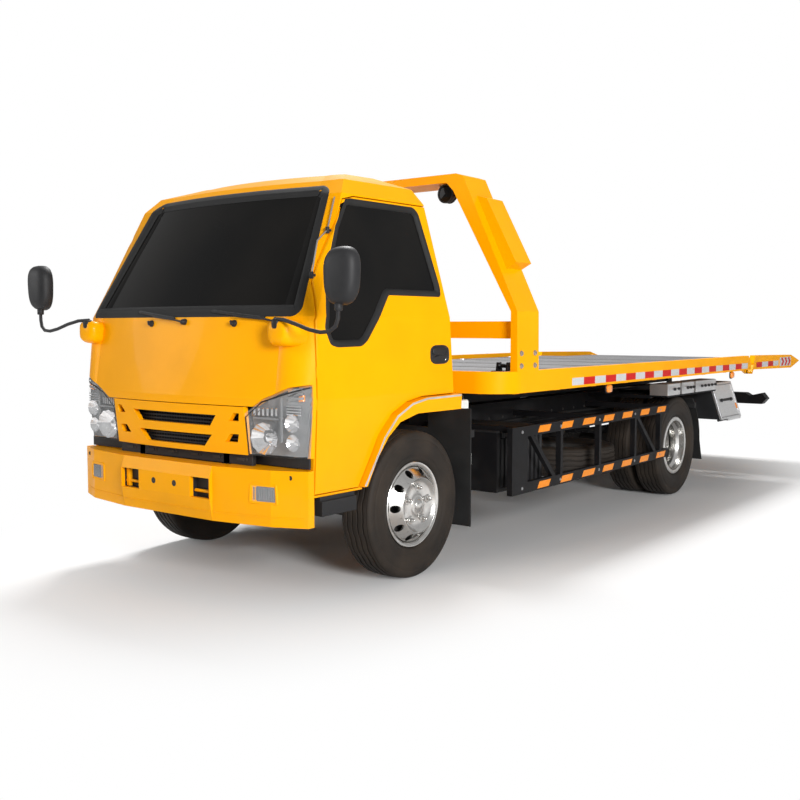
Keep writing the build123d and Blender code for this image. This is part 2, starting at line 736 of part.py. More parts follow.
# Side guards: an open braced panel each side, hung from the frame on arms
guard_x0, guard_x1 = 965, 1000
guard_y0 = 735
guard_setback = 370
guard_y1 = wheelbase - guard_setback
guard_top_z, guard_bottom_z = 738, 345
guard_bar = 62
guard_post = 30
guard_head_width = 175
guard_arm = 36
guard_post_shares = [0.255, 0.49, 0.735, 0.93]
# braces as start and end places along the guard, low end first
guard_brace_shares = [(0.235, 0.09), (0.91, 0.745)]
guard_arm_shares = [0.03, 0.49, 0.97]


def guard_place(share):
    return guard_y0 + (guard_y1 - guard_y0) * share


def side_guard():
    guard = block(guard_x0, guard_x1, guard_y0, guard_y1, guard_top_z - guard_bar, guard_top_z)
    guard = guard + block(guard_x0, guard_x1, guard_y0, guard_y1, guard_bottom_z, guard_bottom_z + guard_bar)
    guard = guard + block(guard_x0, guard_x1, guard_y0, guard_y0 + guard_head_width, guard_bottom_z,
                          guard_top_z)
    for share in guard_post_shares:
        y = guard_place(share)
        guard = guard + block(guard_x0, guard_x1, y, y + guard_post, guard_bottom_z, guard_top_z)
    middle_x = (guard_x0 + guard_x1) / 2
    for low, high in guard_brace_shares:
        foot = (middle_x, guard_place(low), guard_bottom_z + guard_bar / 2)
        head = (middle_x, guard_place(high), guard_top_z - guard_bar / 2)
        guard = guard + bar(foot, head, guard_post, guard_post)
    for share in guard_arm_shares:
        y = guard_place(share) - guard_arm / 2
        guard = guard + block(frame_half_width, guard_x1, y, y + guard_arm, guard_top_z - guard_arm,
                              guard_top_z)
    return guard


# Mud flaps and the guards behind the rear wheels
flap_thickness = 10
front_flap_y = 468
front_flap_x0, front_flap_x1 = 600, 890
front_flap_z0, front_flap_z1 = 200, 860
flap_bracket = 40
rear_guard_radius = 455
rear_guard_x0, rear_guard_x1 = 480, 925
rear_guard_angles = [50, 40, 30, 20, 10, 0]
rear_flap_z0 = 225
rear_flap_lean = 55


def mud_flaps():
    front = block(front_flap_x0, front_flap_x1, front_flap_y, front_flap_y + flap_thickness,
                  front_flap_z0, front_flap_z1)
    front = front + block(frame_half_width, front_flap_x1, front_flap_y, front_flap_y + flap_bracket,
                          frame_top_z - flap_bracket, frame_top_z)
    arc = [(math.cos(math.radians(a)), math.sin(math.radians(a))) for a in rear_guard_angles]
    outer = [(wheelbase + (rear_guard_radius + flap_thickness) * c, hub_height
              + (rear_guard_radius + flap_thickness) * s) for c, s in arc]
    inner = [(wheelbase + rear_guard_radius * c, hub_height + rear_guard_radius * s)
             for c, s in reversed(arc)]
    tip = wheelbase + rear_guard_radius + rear_flap_lean
    rear = prism_x(outer + [(tip + flap_thickness, rear_flap_z0), (tip, rear_flap_z0)] + inner,
                   rear_guard_x0, rear_guard_x1)
    stay_y = wheelbase + rear_guard_radius - flap_bracket * 3
    rear = rear + block(frame_half_width, rear_guard_x1, stay_y, stay_y + flap_bracket,
                        frame_top_z - flap_bracket * 2, frame_top_z - flap_bracket)
    return pair(front) + pair(rear)


# Coolant bottle behind the cab
bottle_x0, bottle_x1 = 735, 815
bottle_y0, bottle_y1 = front_flap_y + flap_thickness, 570
bottle_z0, bottle_z1 = frame_top_z, 905
bottle_round = 14


def coolant_bottle():
    body = block(bottle_x0, bottle_x1, bottle_y0, bottle_y1, bottle_z0, bottle_z1)
    return fillet(body.edges(), bottle_round)


# Spare wheel, flat under the left rail, midway between the battery box and the rear tyre
spare_x, spare_z = 545, 400
spare_y = (battery_y1 + wheelbase - tyre_radius) / 2
spare_hanger = 60


def spare_wheel():
    ring = Cylinder(tyre_radius, tyre_width) - Cylinder(rim_radius, tyre_width)
    ring = fillet(ring.edges().filter_by(GeomType.CIRCLE).sort_by(SortBy.RADIUS)[-2:], tyre_width / 4)
    tyre = Pos(spare_x, spare_y, spare_z) * ring
    disc = rod_z(rim_radius, spare_z - tyre_width / 4, spare_z - tyre_width / 8, spare_x, spare_y)
    hanger = block(spare_x - spare_hanger / 2, spare_x + spare_hanger / 2, spare_y - spare_hanger / 2,
                   spare_y + spare_hanger / 2, spare_z - tyre_width / 8, frame_bottom_z + spare_hanger)
    arm = block(frame_half_width, spare_x + spare_hanger / 2, spare_y - spare_hanger / 2,
                spare_y + spare_hanger / 2, frame_bottom_z, frame_bottom_z + spare_hanger)
    return tyre + disc + hanger + arm


# Subframe with the bed's tilt bore
subframe_half_width = frame_half_width
subframe_width = 62
subframe_top_z = 805
subframe_y0 = 620
subframe_inset = 5
subframe_y1 = frame_rear_y - subframe_inset
subframe_cross = 60
subframe_cross_shares = [0.02, 0.535, 0.775]
tilt_pin_radius = 25
barrel_pivot_y, barrel_pivot_z = 1450, 665
barrel_x = 215
barrel_lug = 16
barrel_pin_radius = 18


def subframe():
    frame = None
    for side in both_sides:
        rail = block(side * (subframe_half_width - subframe_width), side * subframe_half_width, subframe_y0,
                     subframe_y1, frame_top_z, subframe_top_z)
        frame = rail if frame is None else frame + rail
    for share in subframe_cross_shares:
        y = subframe_y0 + (subframe_y1 - subframe_y0) * share
        frame = frame + block(-subframe_half_width, subframe_half_width, y, y + subframe_cross, frame_top_z,
                              subframe_top_z - subframe_cross / 4)
    for side in both_sides:
        plate_x = side * (subframe_half_width - subframe_width)
        frame = frame + block(plate_x, plate_x - side * barrel_lug, barrel_pivot_y - barrel_pin_radius * 2,
                              barrel_pivot_y + barrel_pin_radius * 2, barrel_pivot_z - barrel_pin_radius * 2,
                              subframe_top_z)
        frame = frame + rod_x(barrel_pin_radius, plate_x, side * (barrel_x - barrel_radius), barrel_pivot_y,
                              barrel_pivot_z)
    bore = rod_x(tilt_pin_radius + pin_clearance, -bed_half_width, bed_half_width, tilt_pivot_y, tilt_pivot_z)
    return frame - bore


# Tilting frame that carries the sliding bed
tilt_rail_z0, tilt_rail_z1 = 822, 925
tilt_rail_width = 62
tilt_rail_y0 = 620
tilt_rail_lip = 10
tilt_rail_y1 = frame_rear_y + tilt_rail_lip
tilt_lug = 14
tilt_lug_half = 45
tilt_cross_shares = [0.005, 0.5215, 0.9675]
pad_height = 9.7
pad_length = 180
pad_places_shares = [0.02, 0.34, 0.66, 0.95]
rod_pin_y, rod_pin_z = 2350, 850
slide_z = 884
slide_barrel_radius = 36
slide_rod_radius = 20
slide_wall = 8
# the cross member of the bed that the rod pushes, counted from the front
slide_eye_cross = 5
slide_barrel_y0 = 700
slide_barrel_setback = 280
slide_barrel_y1 = wheelbase - slide_barrel_setback


def tilt_frame():
    frame = None
    for side in both_sides:
        rail = block(side * (frame_half_width - tilt_rail_width), side * frame_half_width, tilt_rail_y0,
                     tilt_rail_y1, tilt_rail_z0, tilt_rail_z1)
        lug = block(side * (frame_half_width + seat_clearance), side * (frame_half_width + tilt_lug),
                    tilt_pivot_y - tilt_lug_half, tilt_pivot_y + tilt_lug_half, tilt_pivot_z - tilt_lug_half,
                    tilt_rail_z1)
        cap = block(side * (frame_half_width - tilt_lug), side * (frame_half_width + tilt_lug),
                    tilt_pivot_y - tilt_lug_half, tilt_pivot_y + tilt_lug_half, tilt_rail_z0, tilt_rail_z1)
        frame = (rail if frame is None else frame + rail) + lug + cap
        for share in pad_places_shares:
            y = tilt_rail_y0 + (tilt_rail_y1 - tilt_rail_y0 - pad_length) * share
            frame = frame + block(side * (frame_half_width - tilt_rail_width), side * frame_half_width, y,
                                  y + pad_length, tilt_rail_z1, tilt_rail_z1 + pad_height)
        frame = frame + rod_x(barrel_pin_radius, side * (frame_half_width - tilt_rail_width),
                              side * (barrel_x + eye_half_width + seat_clearance), rod_pin_y, rod_pin_z)
    reach = frame_half_width + tilt_lug
    frame = frame + rod_x(tilt_pin_radius, -reach, reach, tilt_pivot_y, tilt_pivot_z)
    for share in tilt_cross_shares:
        y = tilt_rail_y0 + (tilt_rail_y1 - tilt_rail_y0) * share
        frame = frame + block(-frame_half_width, frame_half_width, y, y + subframe_cross, tilt_rail_z0,
                              slide_z - slide_barrel_radius)
    return frame


def slide_barrel():
    tube = rod_y(slide_barrel_radius, slide_barrel_y0, slide_barrel_y1, 0, slide_z)
    bore = rod_y(slide_rod_radius + pin_clearance, slide_barrel_y0 + slide_wall, slide_barrel_y1 + overrun, 0,
                 slide_z)
    return tube - bore


def slide_rod():
    slide_eye_y = cross_places()[slide_eye_cross] + slide_rod_radius / 2
    rod = rod_y(slide_rod_radius, slide_barrel_y0 + slide_wall * 2, slide_eye_y, 0, slide_z)
    eye = block(-slide_rod_radius, slide_rod_radius, slide_eye_y, slide_eye_y + slide_rod_radius * 2,
                slide_z - slide_rod_radius, cross_bottom_z)
    return rod + eye


# Tilt cylinders
barrel_radius = 42
ram_radius = 24
barrel_length_share = 0.70
eye_half_width = 25
eye_radius = 36


def ram_line():
    start = Vector(0, barrel_pivot_y, barrel_pivot_z)
    return start, Vector(0, rod_pin_y, rod_pin_z) - start


def along_ram(x, share0, share1, radius):
    start, run = ram_line()
    origin = Vector(x, 0, 0) + start + run * share0
    return extrude(Plane(origin=origin, z_dir=run) * Circle(radius), amount=run.length * (share1 - share0))


ram_bore_share = 0.06
ram_start_share = 0.085
ram_end_share = 0.965


def tilt_barrels():
    barrels = []
    for side in both_sides:
        x = side * barrel_x
        eye = rod_x(eye_radius, x - barrel_radius, x + barrel_radius, barrel_pivot_y, barrel_pivot_z)
        tube = along_ram(x, 0, barrel_length_share, barrel_radius)
        bore = along_ram(x, ram_bore_share, 1, ram_radius + pin_clearance)
        pin_room = rod_x(barrel_pin_radius + pin_clearance, 0, side * frame_half_width, barrel_pivot_y,
                         barrel_pivot_z)
        barrels.append(eye + (tube - bore) - pin_room)
    return barrels


def tilt_rams():
    rams = []
    for side in both_sides:
        x = side * barrel_x
        rod = along_ram(x, ram_start_share, ram_end_share, ram_radius)
        eye = rod_x(eye_radius, x - eye_half_width, x + eye_half_width, rod_pin_y, rod_pin_z)
        rams.append(rod + eye)
    return rams


# Bed
rail_width = 46
bed_corner = 190
deck_z = 1030
deck_thickness = 6
deck_edge_gap = 1
deck_joint_setback = 22
cross_bottom_z = tilt_rail_z1 + pad_height + seat_clearance
cross_top_z = deck_z - deck_thickness
cross_depth = 60
cross_count = 9
notch = 70


def bed_rail_profile():
    """Side view of a rail: square at the front, notched back at the top of its rear end."""
    return [(bed_front_y + bed_corner, rail_bottom_z), (bed_front_y + bed_corner, rail_top_z),
            (bed_end_y - notch, rail_top_z), (bed_end_y, rail_top_z - notch), (bed_end_y, rail_bottom_z)]


def bed_front():
    """The rounded front edge of the bed, a bent plate from rail to rail."""
    outer = Pos(0, bed_front_y + bed_corner * 2, 0) * Rectangle(bed_half_width * 2, bed_corner * 2 * 2)
    inner = Pos(0, bed_front_y + bed_corner * 2, 0) * Rectangle((bed_half_width - rail_width) * 2,
                                                                (bed_corner * 2 - rail_width) * 2)
    outer = fillet(outer.vertices().group_by(Axis.Y)[0], bed_corner)
    inner = fillet(inner.vertices().group_by(Axis.Y)[0], bed_corner - rail_width)
    ring = extrude(outer - inner, amount=rail_top_z - rail_bottom_z)
    keep = block(-bed_half_width, bed_half_width, bed_front_y, bed_front_y + bed_corner, 0, rail_top_z)
    return (Pos(0, 0, rail_bottom_z) * ring) & keep


def cross_places():
    first, last = bed_front_y + bed_corner, bed_end_y - cross_depth
    return [first + (last - first) * index / (cross_count - 1) for index in range(cross_count)]


def bed_frame():
    frame = bed_front()
    for side in both_sides:
        inner_x = side * (bed_half_width - rail_width)
        frame = frame + prism_x(bed_rail_profile(), inner_x, side * bed_half_width)
        runner_x = side * (frame_half_width - tilt_rail_width)
        frame = frame + block(runner_x, side * frame_half_width, bed_front_y + bed_corner, bed_end_y,
                              cross_bottom_z, cross_top_z)
    inner = bed_half_width - rail_width
    for y in cross_places():
        frame = frame + block(-inner, inner, y, y + cross_depth, cross_bottom_z, cross_top_z)
    for side in both_sides:
        frame = frame + tail_lug(side)
    return frame


tail_lug_x0, tail_lug_x1 = 1010, 1035
tail_knuckle_radius = 22
tail_pin_radius = 9


def tail_lug(side):
    profile = [(bed_end_y - notch, rail_bottom_z + overrun), (bed_end_y - notch, rail_bottom_z),
               (tail_pivot_y, tail_pivot_z - tail_knuckle_radius),
               (tail_pivot_y + tail_knuckle_radius, tail_pivot_z),
               (tail_pivot_y, tail_pivot_z + tail_knuckle_radius), (bed_end_y, rail_bottom_z + overrun)]
    bore = rod_x(tail_pin_radius + pin_clearance, -bed_half_width, bed_half_width, tail_pivot_y, tail_pivot_z)
    return prism_x(profile, side * tail_lug_x0, side * tail_lug_x1) - bore


def bed_deck():
    """Two plates: a short one with round corners under the winch and a long one to load."""
    inner = bed_half_width - rail_width - deck_edge_gap
    front = bed_front_y + rail_width + deck_edge_gap
    joint = winch_y1 + deck_joint_setback
    plate = Pos(0, (front + joint) / 2, 0) * Rectangle(inner * 2, joint - front)
    plate = fillet(plate.vertices().group_by(Axis.Y)[0], bed_corner - rail_width - deck_edge_gap)
    ahead = Pos(0, 0, cross_top_z) * extrude(plate, amount=deck_z - cross_top_z)
    return ahead, block(-inner, inner, joint + deck_edge_gap, bed_end_y, cross_top_z, deck_z)


# Tail section with arrow ends, hinged at the bottom of the rails
tail_y0 = tail_pivot_y + 30
tail_arrow_length = 270
tail_tip_y = wheelbase + tail_overhang
tail_arrow_y = tail_tip_y - tail_arrow_length
tail_droop = 18
tail_beam_width = 46
tail_cross_count = 3
tail_cross_lift = 20


def tail():
    low = rail_bottom_z - tail_droop
    high = rail_top_z - tail_droop
    beams = None
    profile = [(tail_y0, rail_bottom_z), (tail_y0, rail_top_z - notch), (tail_y0 + notch / 2, rail_top_z),
               (tail_arrow_y, high), (tail_tip_y, (low + high) / 2), (tail_arrow_y, low)]
    inner = bed_half_width - tail_beam_width
    for side in both_sides:
        beam = prism_x(profile, side * inner, side * bed_half_width)
        lug = prism_x([(tail_y0, rail_bottom_z), (tail_pivot_y, tail_pivot_z - tail_knuckle_radius),
                       (tail_pivot_y - tail_knuckle_radius, tail_pivot_z),
                       (tail_pivot_y, tail_pivot_z + tail_knuckle_radius),
                       (tail_y0, rail_bottom_z + overrun)],
                      side * (tail_lug_x1 + seat_clearance), side * bed_half_width)
        pin = rod_x(tail_pin_radius, side * tail_lug_x0, side * bed_half_width, tail_pivot_y, tail_pivot_z)
        beams = (beam if beams is None else beams + beam) + lug + pin
    first, last = tail_y0 + cross_depth, tail_arrow_y - cross_depth * 2
    deck_low = deck_z - deck_thickness - tail_droop
    for index in range(tail_cross_count):
        y = first + (last - first) * index / (tail_cross_count - 1)
        beams = beams + block(-inner, inner, y, y + cross_depth, low + tail_cross_lift, deck_low)
    deck = block(-inner + deck_edge_gap, inner - deck_edge_gap, tail_y0, tail_arrow_y, deck_low,
                 deck_z - tail_droop)
    return beams, deck


# Headboard: bent boxed legs, an arch between their tops and a cross bar
leg_y0, leg_y1 = 645, 885
leg_thickness = 44
leg_bend_z = 1400
headboard_top_z = 2190
arch_thickness = 48
shoulder_x = 712
apex_x = 664
arch_inner_x = 600
leg_lean = 3
arch_shoulder = 66
bar_z0, bar_z1 = 1248, 1345
bar_y0, bar_y1 = 690, 750
rib_z0, rib_z1 = 1625, 2045
rib_proud = 50
rib_y0 = 715
rib_slope = 50


def headboard():
    outer = [(bed_half_width, rail_top_z), (bed_half_width - leg_lean, leg_bend_z),
             (shoulder_x, headboard_top_z - arch_thickness / 3), (apex_x, headboard_top_z)]
    inner_top = [(arch_inner_x, headboard_top_z - arch_thickness),
                 (shoulder_x - arch_shoulder, headboard_top_z - arch_thickness * 2)]
    inner_low = [(bed_half_width - leg_thickness, leg_bend_z), (bed_half_width - leg_thickness, rail_top_z)]
    half = outer + [(0, headboard_top_z), (0, headboard_top_z - arch_thickness)] + inner_top + inner_low
    frame = prism_y(half, leg_y0, leg_y1)
    lean = (bed_half_width - shoulder_x) / (headboard_top_z - leg_bend_z)
    low_x = bed_half_width - lean * (rib_z0 - leg_bend_z)
    high_x = bed_half_width - lean * (rib_z1 - leg_bend_z)
    rib_outline = [(low_x - leg_thickness, rib_z0), (low_x + rib_proud, rib_z0 + rib_slope),
                   (high_x + rib_proud, rib_z1), (high_x - leg_thickness, rib_z1 + rib_slope / 2)]
    frame = frame + prism_y(rib_outline, rib_y0, leg_y1)
    frame = frame + block(0, bed_half_width - leg_thickness, bar_y0, bar_y1, bar_z0, bar_z1)
    return frame + mirrored(frame)


# Winch at the front of the deck
winch_y0, winch_y1 = 930, 1090
winch_half = 210
drum_radius = 62
winch_cheek = 26
winch_motor = 120


def winch():
    drum_y = (winch_y0 + winch_y1) / 2
    drum_z = deck_z + drum_radius + winch_cheek
    body = rod_x(drum_radius, -winch_half, winch_half, drum_y, drum_z)
    for side in both_sides:
        body = body + block(side * winch_half, side * (winch_half + winch_cheek), winch_y0, winch_y1, deck_z,
                            drum_z + drum_radius + winch_cheek)
    motor_x = -winch_half - winch_cheek
    body = body + rod_x(drum_radius, motor_x, motor_x - winch_motor, drum_y, drum_z)
    return body + block(-winch_half, winch_half, winch_y0, winch_y1, deck_z, deck_z + winch_cheek / 2)


# Lamps on the bed and at the tail of the frame
side_lamp_size = 66
side_lamp_height = 62
side_lamp_thickness = 26
side_lamp_shares = [0.3315, 0.901]
work_lamp_radius = 55
work_lamp_y0, work_lamp_y1 = 685, 765
work_lamp_x = 560


def bed_lamps():
    lamps = []
    x1 = bed_half_width - rail_width / 4
    for share in side_lamp_shares:
        y = bed_front_y + (bed_end_y - bed_front_y) * share
        lamp = block(x1 - side_lamp_thickness, x1, y - side_lamp_size / 2, y + side_lamp_size / 2,
                     rail_bottom_z - side_lamp_height, rail_bottom_z)
        lamps += pair(lamp)
    lamp_z = headboard_top_z - arch_thickness - work_lamp_radius
    work = rod_y(work_lamp_radius, work_lamp_y0, work_lamp_y1, work_lamp_x, lamp_z)
    return lamps + pair(work)


# Tail bar and its lamps
tail_bar_y = frame_rear_y
tail_bar_depth = 40
tail_bar_z0, tail_bar_z1 = 694, 734
tail_lamp_x0, tail_lamp_x1 = 420, 760
tail_lamp_z0 = 612
tail_lamp_depth = 50


def tail_lamps():
    return pair(block(tail_lamp_x0, tail_lamp_x1, tail_bar_y, tail_bar_y + tail_lamp_depth, tail_lamp_z0,
                      tail_bar_z0))


def tail_bar():
    return block(-tail_lamp_x1, tail_lamp_x1, tail_bar_y, tail_bar_y + tail_bar_depth, tail_bar_z0,
                 tail_bar_z1)


# Control boxes: open to the side, with lever boxes ahead of them
box_tyre_gap = 242.5
box_length = 480
box_y0 = wheelbase + tyre_radius + box_tyre_gap
box_y1 = box_y0 + box_length
box_top_z, box_bottom_z = 845, 548
box_back_x = 620
box_top_x, box_bottom_x = 930, 1030
box_wall = 12
box_arm = 50
lever_x0, lever_x1 = 860, 1000
lever_z0, lever_z1 = 800, 885
# lever boxes: front and rear ends in shares of the row's length, ahead of the control box
lever_row_length = 1030
lever_shares = [(1, 0.767), (0.728, 0.495), (0.456, 0.029)]
levers = [(box_y0 - lever_row_length * front, box_y0 - lever_row_length * rear)
          for front, rear in lever_shares]


def box_profile(inset):
    return [(box_back_x + inset, box_bottom_z + inset), (box_back_x + inset, box_top_z - inset),
            (box_top_x, box_top_z - inset), (box_bottom_x, box_bottom_z + inset)]


def control_box():
    shell = prism_y(box_profile(0), box_y0, box_y1) - prism_y(
        [(x + (overrun if x > box_back_x + box_wall else 0), z) for x, z in box_profile(box_wall)],
        box_y0 + box_wall, box_y1 - box_wall)
    arm = block(frame_half_width, box_back_x, box_y0 + box_arm, box_y0 + box_arm * 2, frame_top_z - box_arm,
                frame_top_z)
    return shell + arm + box_knuckle()


lid_hinge_radius = 9
lid_pin_radius = 5
lid_thickness = 14
lid_gap = 1


hinge_x, hinge_z = box_bottom_x - lid_hinge_radius * 2, box_bottom_z - lid_hinge_radius
hinge_split_y = (box_y0 * 2 + box_y1) / 3


def box_knuckle():
    """The fixed part of the lid's hinge: a pin on a foot under the box."""
    y0 = box_y0 + box_wall
    foot = block(hinge_x - lid_hinge_radius, hinge_x + lid_hinge_radius, y0, hinge_split_y, hinge_z,
                 box_bottom_z)
    pin = rod_y(lid_pin_radius, y0, box_y1 - box_wall, hinge_x, hinge_z)
    return foot + rod_y(lid_hinge_radius, y0, hinge_split_y, hinge_x, hinge_z) + pin


def lid():
    face = prism_y([(box_top_x + lid_gap, box_top_z), (box_bottom_x + lid_gap, box_bottom_z),
                    (box_bottom_x + lid_gap + lid_thickness, box_bottom_z),
                    (box_top_x + lid_gap + lid_thickness, box_top_z)], box_y0, box_y1)
    y0, y1 = hinge_split_y + lid_gap, box_y1 - box_wall
    knuckle = rod_y(lid_hinge_radius - seat_clearance, y0, y1, hinge_x, hinge_z)
    outer_x = box_bottom_x + lid_gap + lid_thickness
    strap = block(hinge_x, outer_x, y0, y1, hinge_z - lid_hinge_radius + seat_clearance, hinge_z)
    edge = block(box_bottom_x + lid_gap, outer_x, y0, y1, hinge_z, box_bottom_z)
    bore = rod_y(lid_pin_radius + pin_clearance, box_y0, box_y1, hinge_x, hinge_z)
    return face + knuckle + strap + edge - bore


def lever_boxes():
    boxes = []
    for y0, y1 in levers:
        case = block(lever_x0, lever_x1, y0, y1, lever_z0, lever_z1)
        boxes += pair(case)
    return boxes


lever_rail_thickness = 12


def lever_rail():
    """The shelf under the lever boxes, carried on arms from the subframe."""
    y0, y1 = levers[0][0], levers[-1][1]
    shelf = block(lever_x0, lever_x1, y0, y1, lever_z0 - lever_rail_thickness, lever_z0)
    for y, _ in levers[::2]:
        shelf = shelf + block(subframe_half_width, lever_x0, y, y + box_arm,
                              lever_z0 - lever_rail_thickness * 2, lever_z0)
    return shelf + mirrored(shelf)


# Wheel-lift at the rear
boom_half = 60
boom_wall = 8
boom_length = 950
boom_y1 = boom_pivot_y + boom_length
inner_half = boom_half - boom_wall
inner_setback = 150
inner_y0 = boom_pivot_y + inner_setback
tbar_reach = 390
tbar_y = boom_y1 + tbar_reach
tbar_half = 52
tbar_half_width = 700
claw_x1 = 905
claw_rise = 55
claw_depth = 45
boom_pin_radius = 22
boom_bracket = 20


def boom():
    tube = block(-boom_half, boom_half, boom_pivot_y - boom_half, boom_y1, boom_pivot_z - boom_half,
                 boom_pivot_z + boom_half)
    bore = block(-boom_half + boom_wall, boom_half - boom_wall, inner_y0 - overrun, boom_y1 + overrun,
                 boom_pivot_z - boom_half + boom_wall, boom_pivot_z + boom_half - boom_wall)
    reach = boom_half + boom_bracket
    return tube - bore + rod_x(boom_pin_radius, -reach, reach, boom_pivot_y, boom_pivot_z)


def boom_mount():
    """Two cheeks from a cross member that hold the boom's pin."""
    reach = frame_half_width - rail_web
    ahead = boom_pivot_y - boom_half * 2
    mount = block(-reach, reach, ahead - overrun, ahead + boom_half - overrun / 2, frame_bottom_z + rail_web,
                  frame_top_z - rail_web)
    for side in both_sides:
        mount = mount + block(side * (boom_half + seat_clearance), side * (boom_half + boom_bracket), ahead,
                              boom_pivot_y + boom_half, boom_pivot_z - boom_half, boom_pivot_z + boom_half)
    return mount - rod_x(boom_pin_radius + pin_clearance, -frame_half_width, frame_half_width, boom_pivot_y,
                         boom_pivot_z)


def boom_slide():
    inner = inner_half - seat_clearance
    body = block(-inner, inner, inner_y0, tbar_y + tbar_half, boom_pivot_z - inner, boom_pivot_z + inner)
    body = body + block(-tbar_half_width, tbar_half_width, tbar_y - tbar_half, tbar_y + tbar_half,
                        boom_pivot_z - tbar_half, boom_pivot_z + tbar_half)
    for side in both_sides:
        claw = prism_y([
            (tbar_half_width, boom_pivot_z - tbar_half), (claw_x1 - claw_depth, boom_pivot_z - tbar_half),
            (claw_x1, boom_pivot_z), (claw_x1 - claw_depth, boom_pivot_z + claw_rise),
            (tbar_half_width + claw_depth, boom_pivot_z + tbar_half / 2),
            (tbar_half_width, boom_pivot_z + tbar_half),
        ], tbar_y - tbar_half, tbar_y + tbar_half)
        body = body + (claw if side > 0 else mirrored(claw))
    return body


# Wheels
shoulder_share = 0.90
tread_share = 0.74
bead_radius = rim_radius + seat_clearance
wall_bulge_radius = 300
shoulder_radius = 375.5
flange_radius = 222
bead_top_radius = flange_radius + 4
flange_width = 14
rim_half = 82
rim_well_radius = 178
bead_seat_radius = 201
rim_shell = 8
disc_thickness = 14
hand_hole_radius = 24
hand_hole_circle = 148
front_hole_count = 10
rear_hole_count = 8
hub_radius = 82
stud_circle = 104
stud_radius = 11
front_stud_count = 5
stud_length = 24
front_disc_x = 36
hub_nose = 38


def tyre(x, y):
    half = tyre_width / 2
    bead = rim_half - flange_width - seat_clearance
    right = [(bead, bead_radius), (bead, bead_top_radius), (half, wall_bulge_radius),
             (half * shoulder_share, shoulder_radius), (half * tread_share, tyre_radius)]
    left = [(-across, radius) for across, radius in reversed(right)]
    return turned_x(right + left, x, y, hub_height)


def rim_barrel(x, y):
    right = [
        (rim_half / 4, rim_well_radius), (rim_half / 2, bead_seat_radius),
        (rim_half - flange_width, rim_radius), (rim_half - flange_width, flange_radius),
        (rim_half, flange_radius), (rim_half, rim_radius - rim_shell),
        (rim_half / 2, rim_radius - rim_shell * 2), (rim_half / 4, rim_well_radius - rim_shell),
    ]
    left = [(-across, radius) for across, radius in reversed(right)]
    return turned_x(right + left, x, y, hub_height)


def ring_of(count, circle, radius, x0, x1, y):
    holes = []
    for index in range(count):
        angle = 2 * math.pi * index / count
        hole_y, hole_z = y + circle * math.cos(angle), hub_height + circle * math.sin(angle)
        holes.append(rod_x(radius, x0, x1, hole_y, hole_z))
    return holes


def front_wheel(side):
    x = front_wheel_x
    disc_x = x + front_disc_x
    wheel = rim_barrel(x, 0)
    disc = rod_x(rim_well_radius, disc_x - disc_thickness, disc_x, 0, hub_height)
    hub = rod_x(hub_radius, spindle_face_x, disc_x + hub_nose, 0, hub_height)
    wheel = wheel + disc + hub
    for hole in ring_of(front_hole_count, hand_hole_circle, hand_hole_radius, disc_x - overrun,
                        disc_x + overrun, 0):
        wheel = wheel - hole
    for stud in ring_of(front_stud_count, stud_circle, stud_radius, disc_x, disc_x + stud_length, 0):
        wheel = wheel + stud
    wheel = wheel - rod_x(spindle_radius + pin_clearance, 0, spindle_end_x + seat_clearance, 0, hub_height)
    return wheel if side > 0 else mirrored(wheel)


spindle_face_x = 730
spindle_end_x = 800


def knuckle(side):
    boss_half = axle_fork_height / 2 - axle_fork_lug - seat_clearance
    body = rod_z(knuckle_radius, hub_height - boss_half, hub_height + boss_half, kingpin_x, 0)
    body = body + rod_x(spindle_radius, kingpin_x, spindle_end_x, 0, hub_height)
    arm_x = kingpin_x + steer_arm_inset
    body = body + block(arm_x, arm_x + steer_arm_height, 0, knuckle_radius + steer_arm,
                        hub_height - steer_arm_height, hub_height)
    body = body - rod_z(kingpin_radius + pin_clearance, 0, frame_top_z, kingpin_x, 0)
    return body if side > 0 else mirrored(body)


knuckle_radius = 31
steer_arm = 110
steer_arm_height = 22
steer_arm_inset = 5


def rear_wheel(side):
    outer_x, inner_x = rear_outer_wheel_x, rear_inner_wheel_x
    disc_x = (outer_x + inner_x) / 2
    wheel = rim_barrel(outer_x, wheelbase) + rim_barrel(inner_x, wheelbase)
    plates = rod_x(rim_well_radius, disc_x - disc_thickness, disc_x + disc_thickness, wheelbase, hub_height)
    reach = disc_x - inner_x - disc_thickness
    dish = [(reach, rim_well_radius - disc_thickness), (reach, rim_well_radius),
            (rim_half, rim_radius - rim_shell / 2), (rim_half, rim_radius - rim_shell),
            (rim_half / 2, rim_radius - rim_shell * 3)]
    far_dish = [(-across, radius) for across, radius in dish]
    hub = rod_x(hub_radius, axle_shoulder_x + overrun, disc_x + hub_nose * 2, wheelbase, hub_height)
    wheel = wheel + plates + turned_x(dish, inner_x, wheelbase, hub_height)
    wheel = wheel + turned_x(far_dish, outer_x, wheelbase, hub_height) + hub
    for hole in ring_of(rear_hole_count, hand_hole_circle, hand_hole_radius, disc_x - overrun,
                        disc_x + overrun, wheelbase):
        wheel = wheel - hole
    face_x = disc_x + disc_thickness
    for stud in ring_of(front_stud_count, stud_circle, stud_radius, face_x, face_x + stud_length, wheelbase):
        wheel = wheel + stud
    wheel = wheel - rod_x(rear_spindle_radius + pin_clearance, 0, rear_spindle_x + seat_clearance, wheelbase,
                          hub_height)
    return wheel if side > 0 else mirrored(wheel)


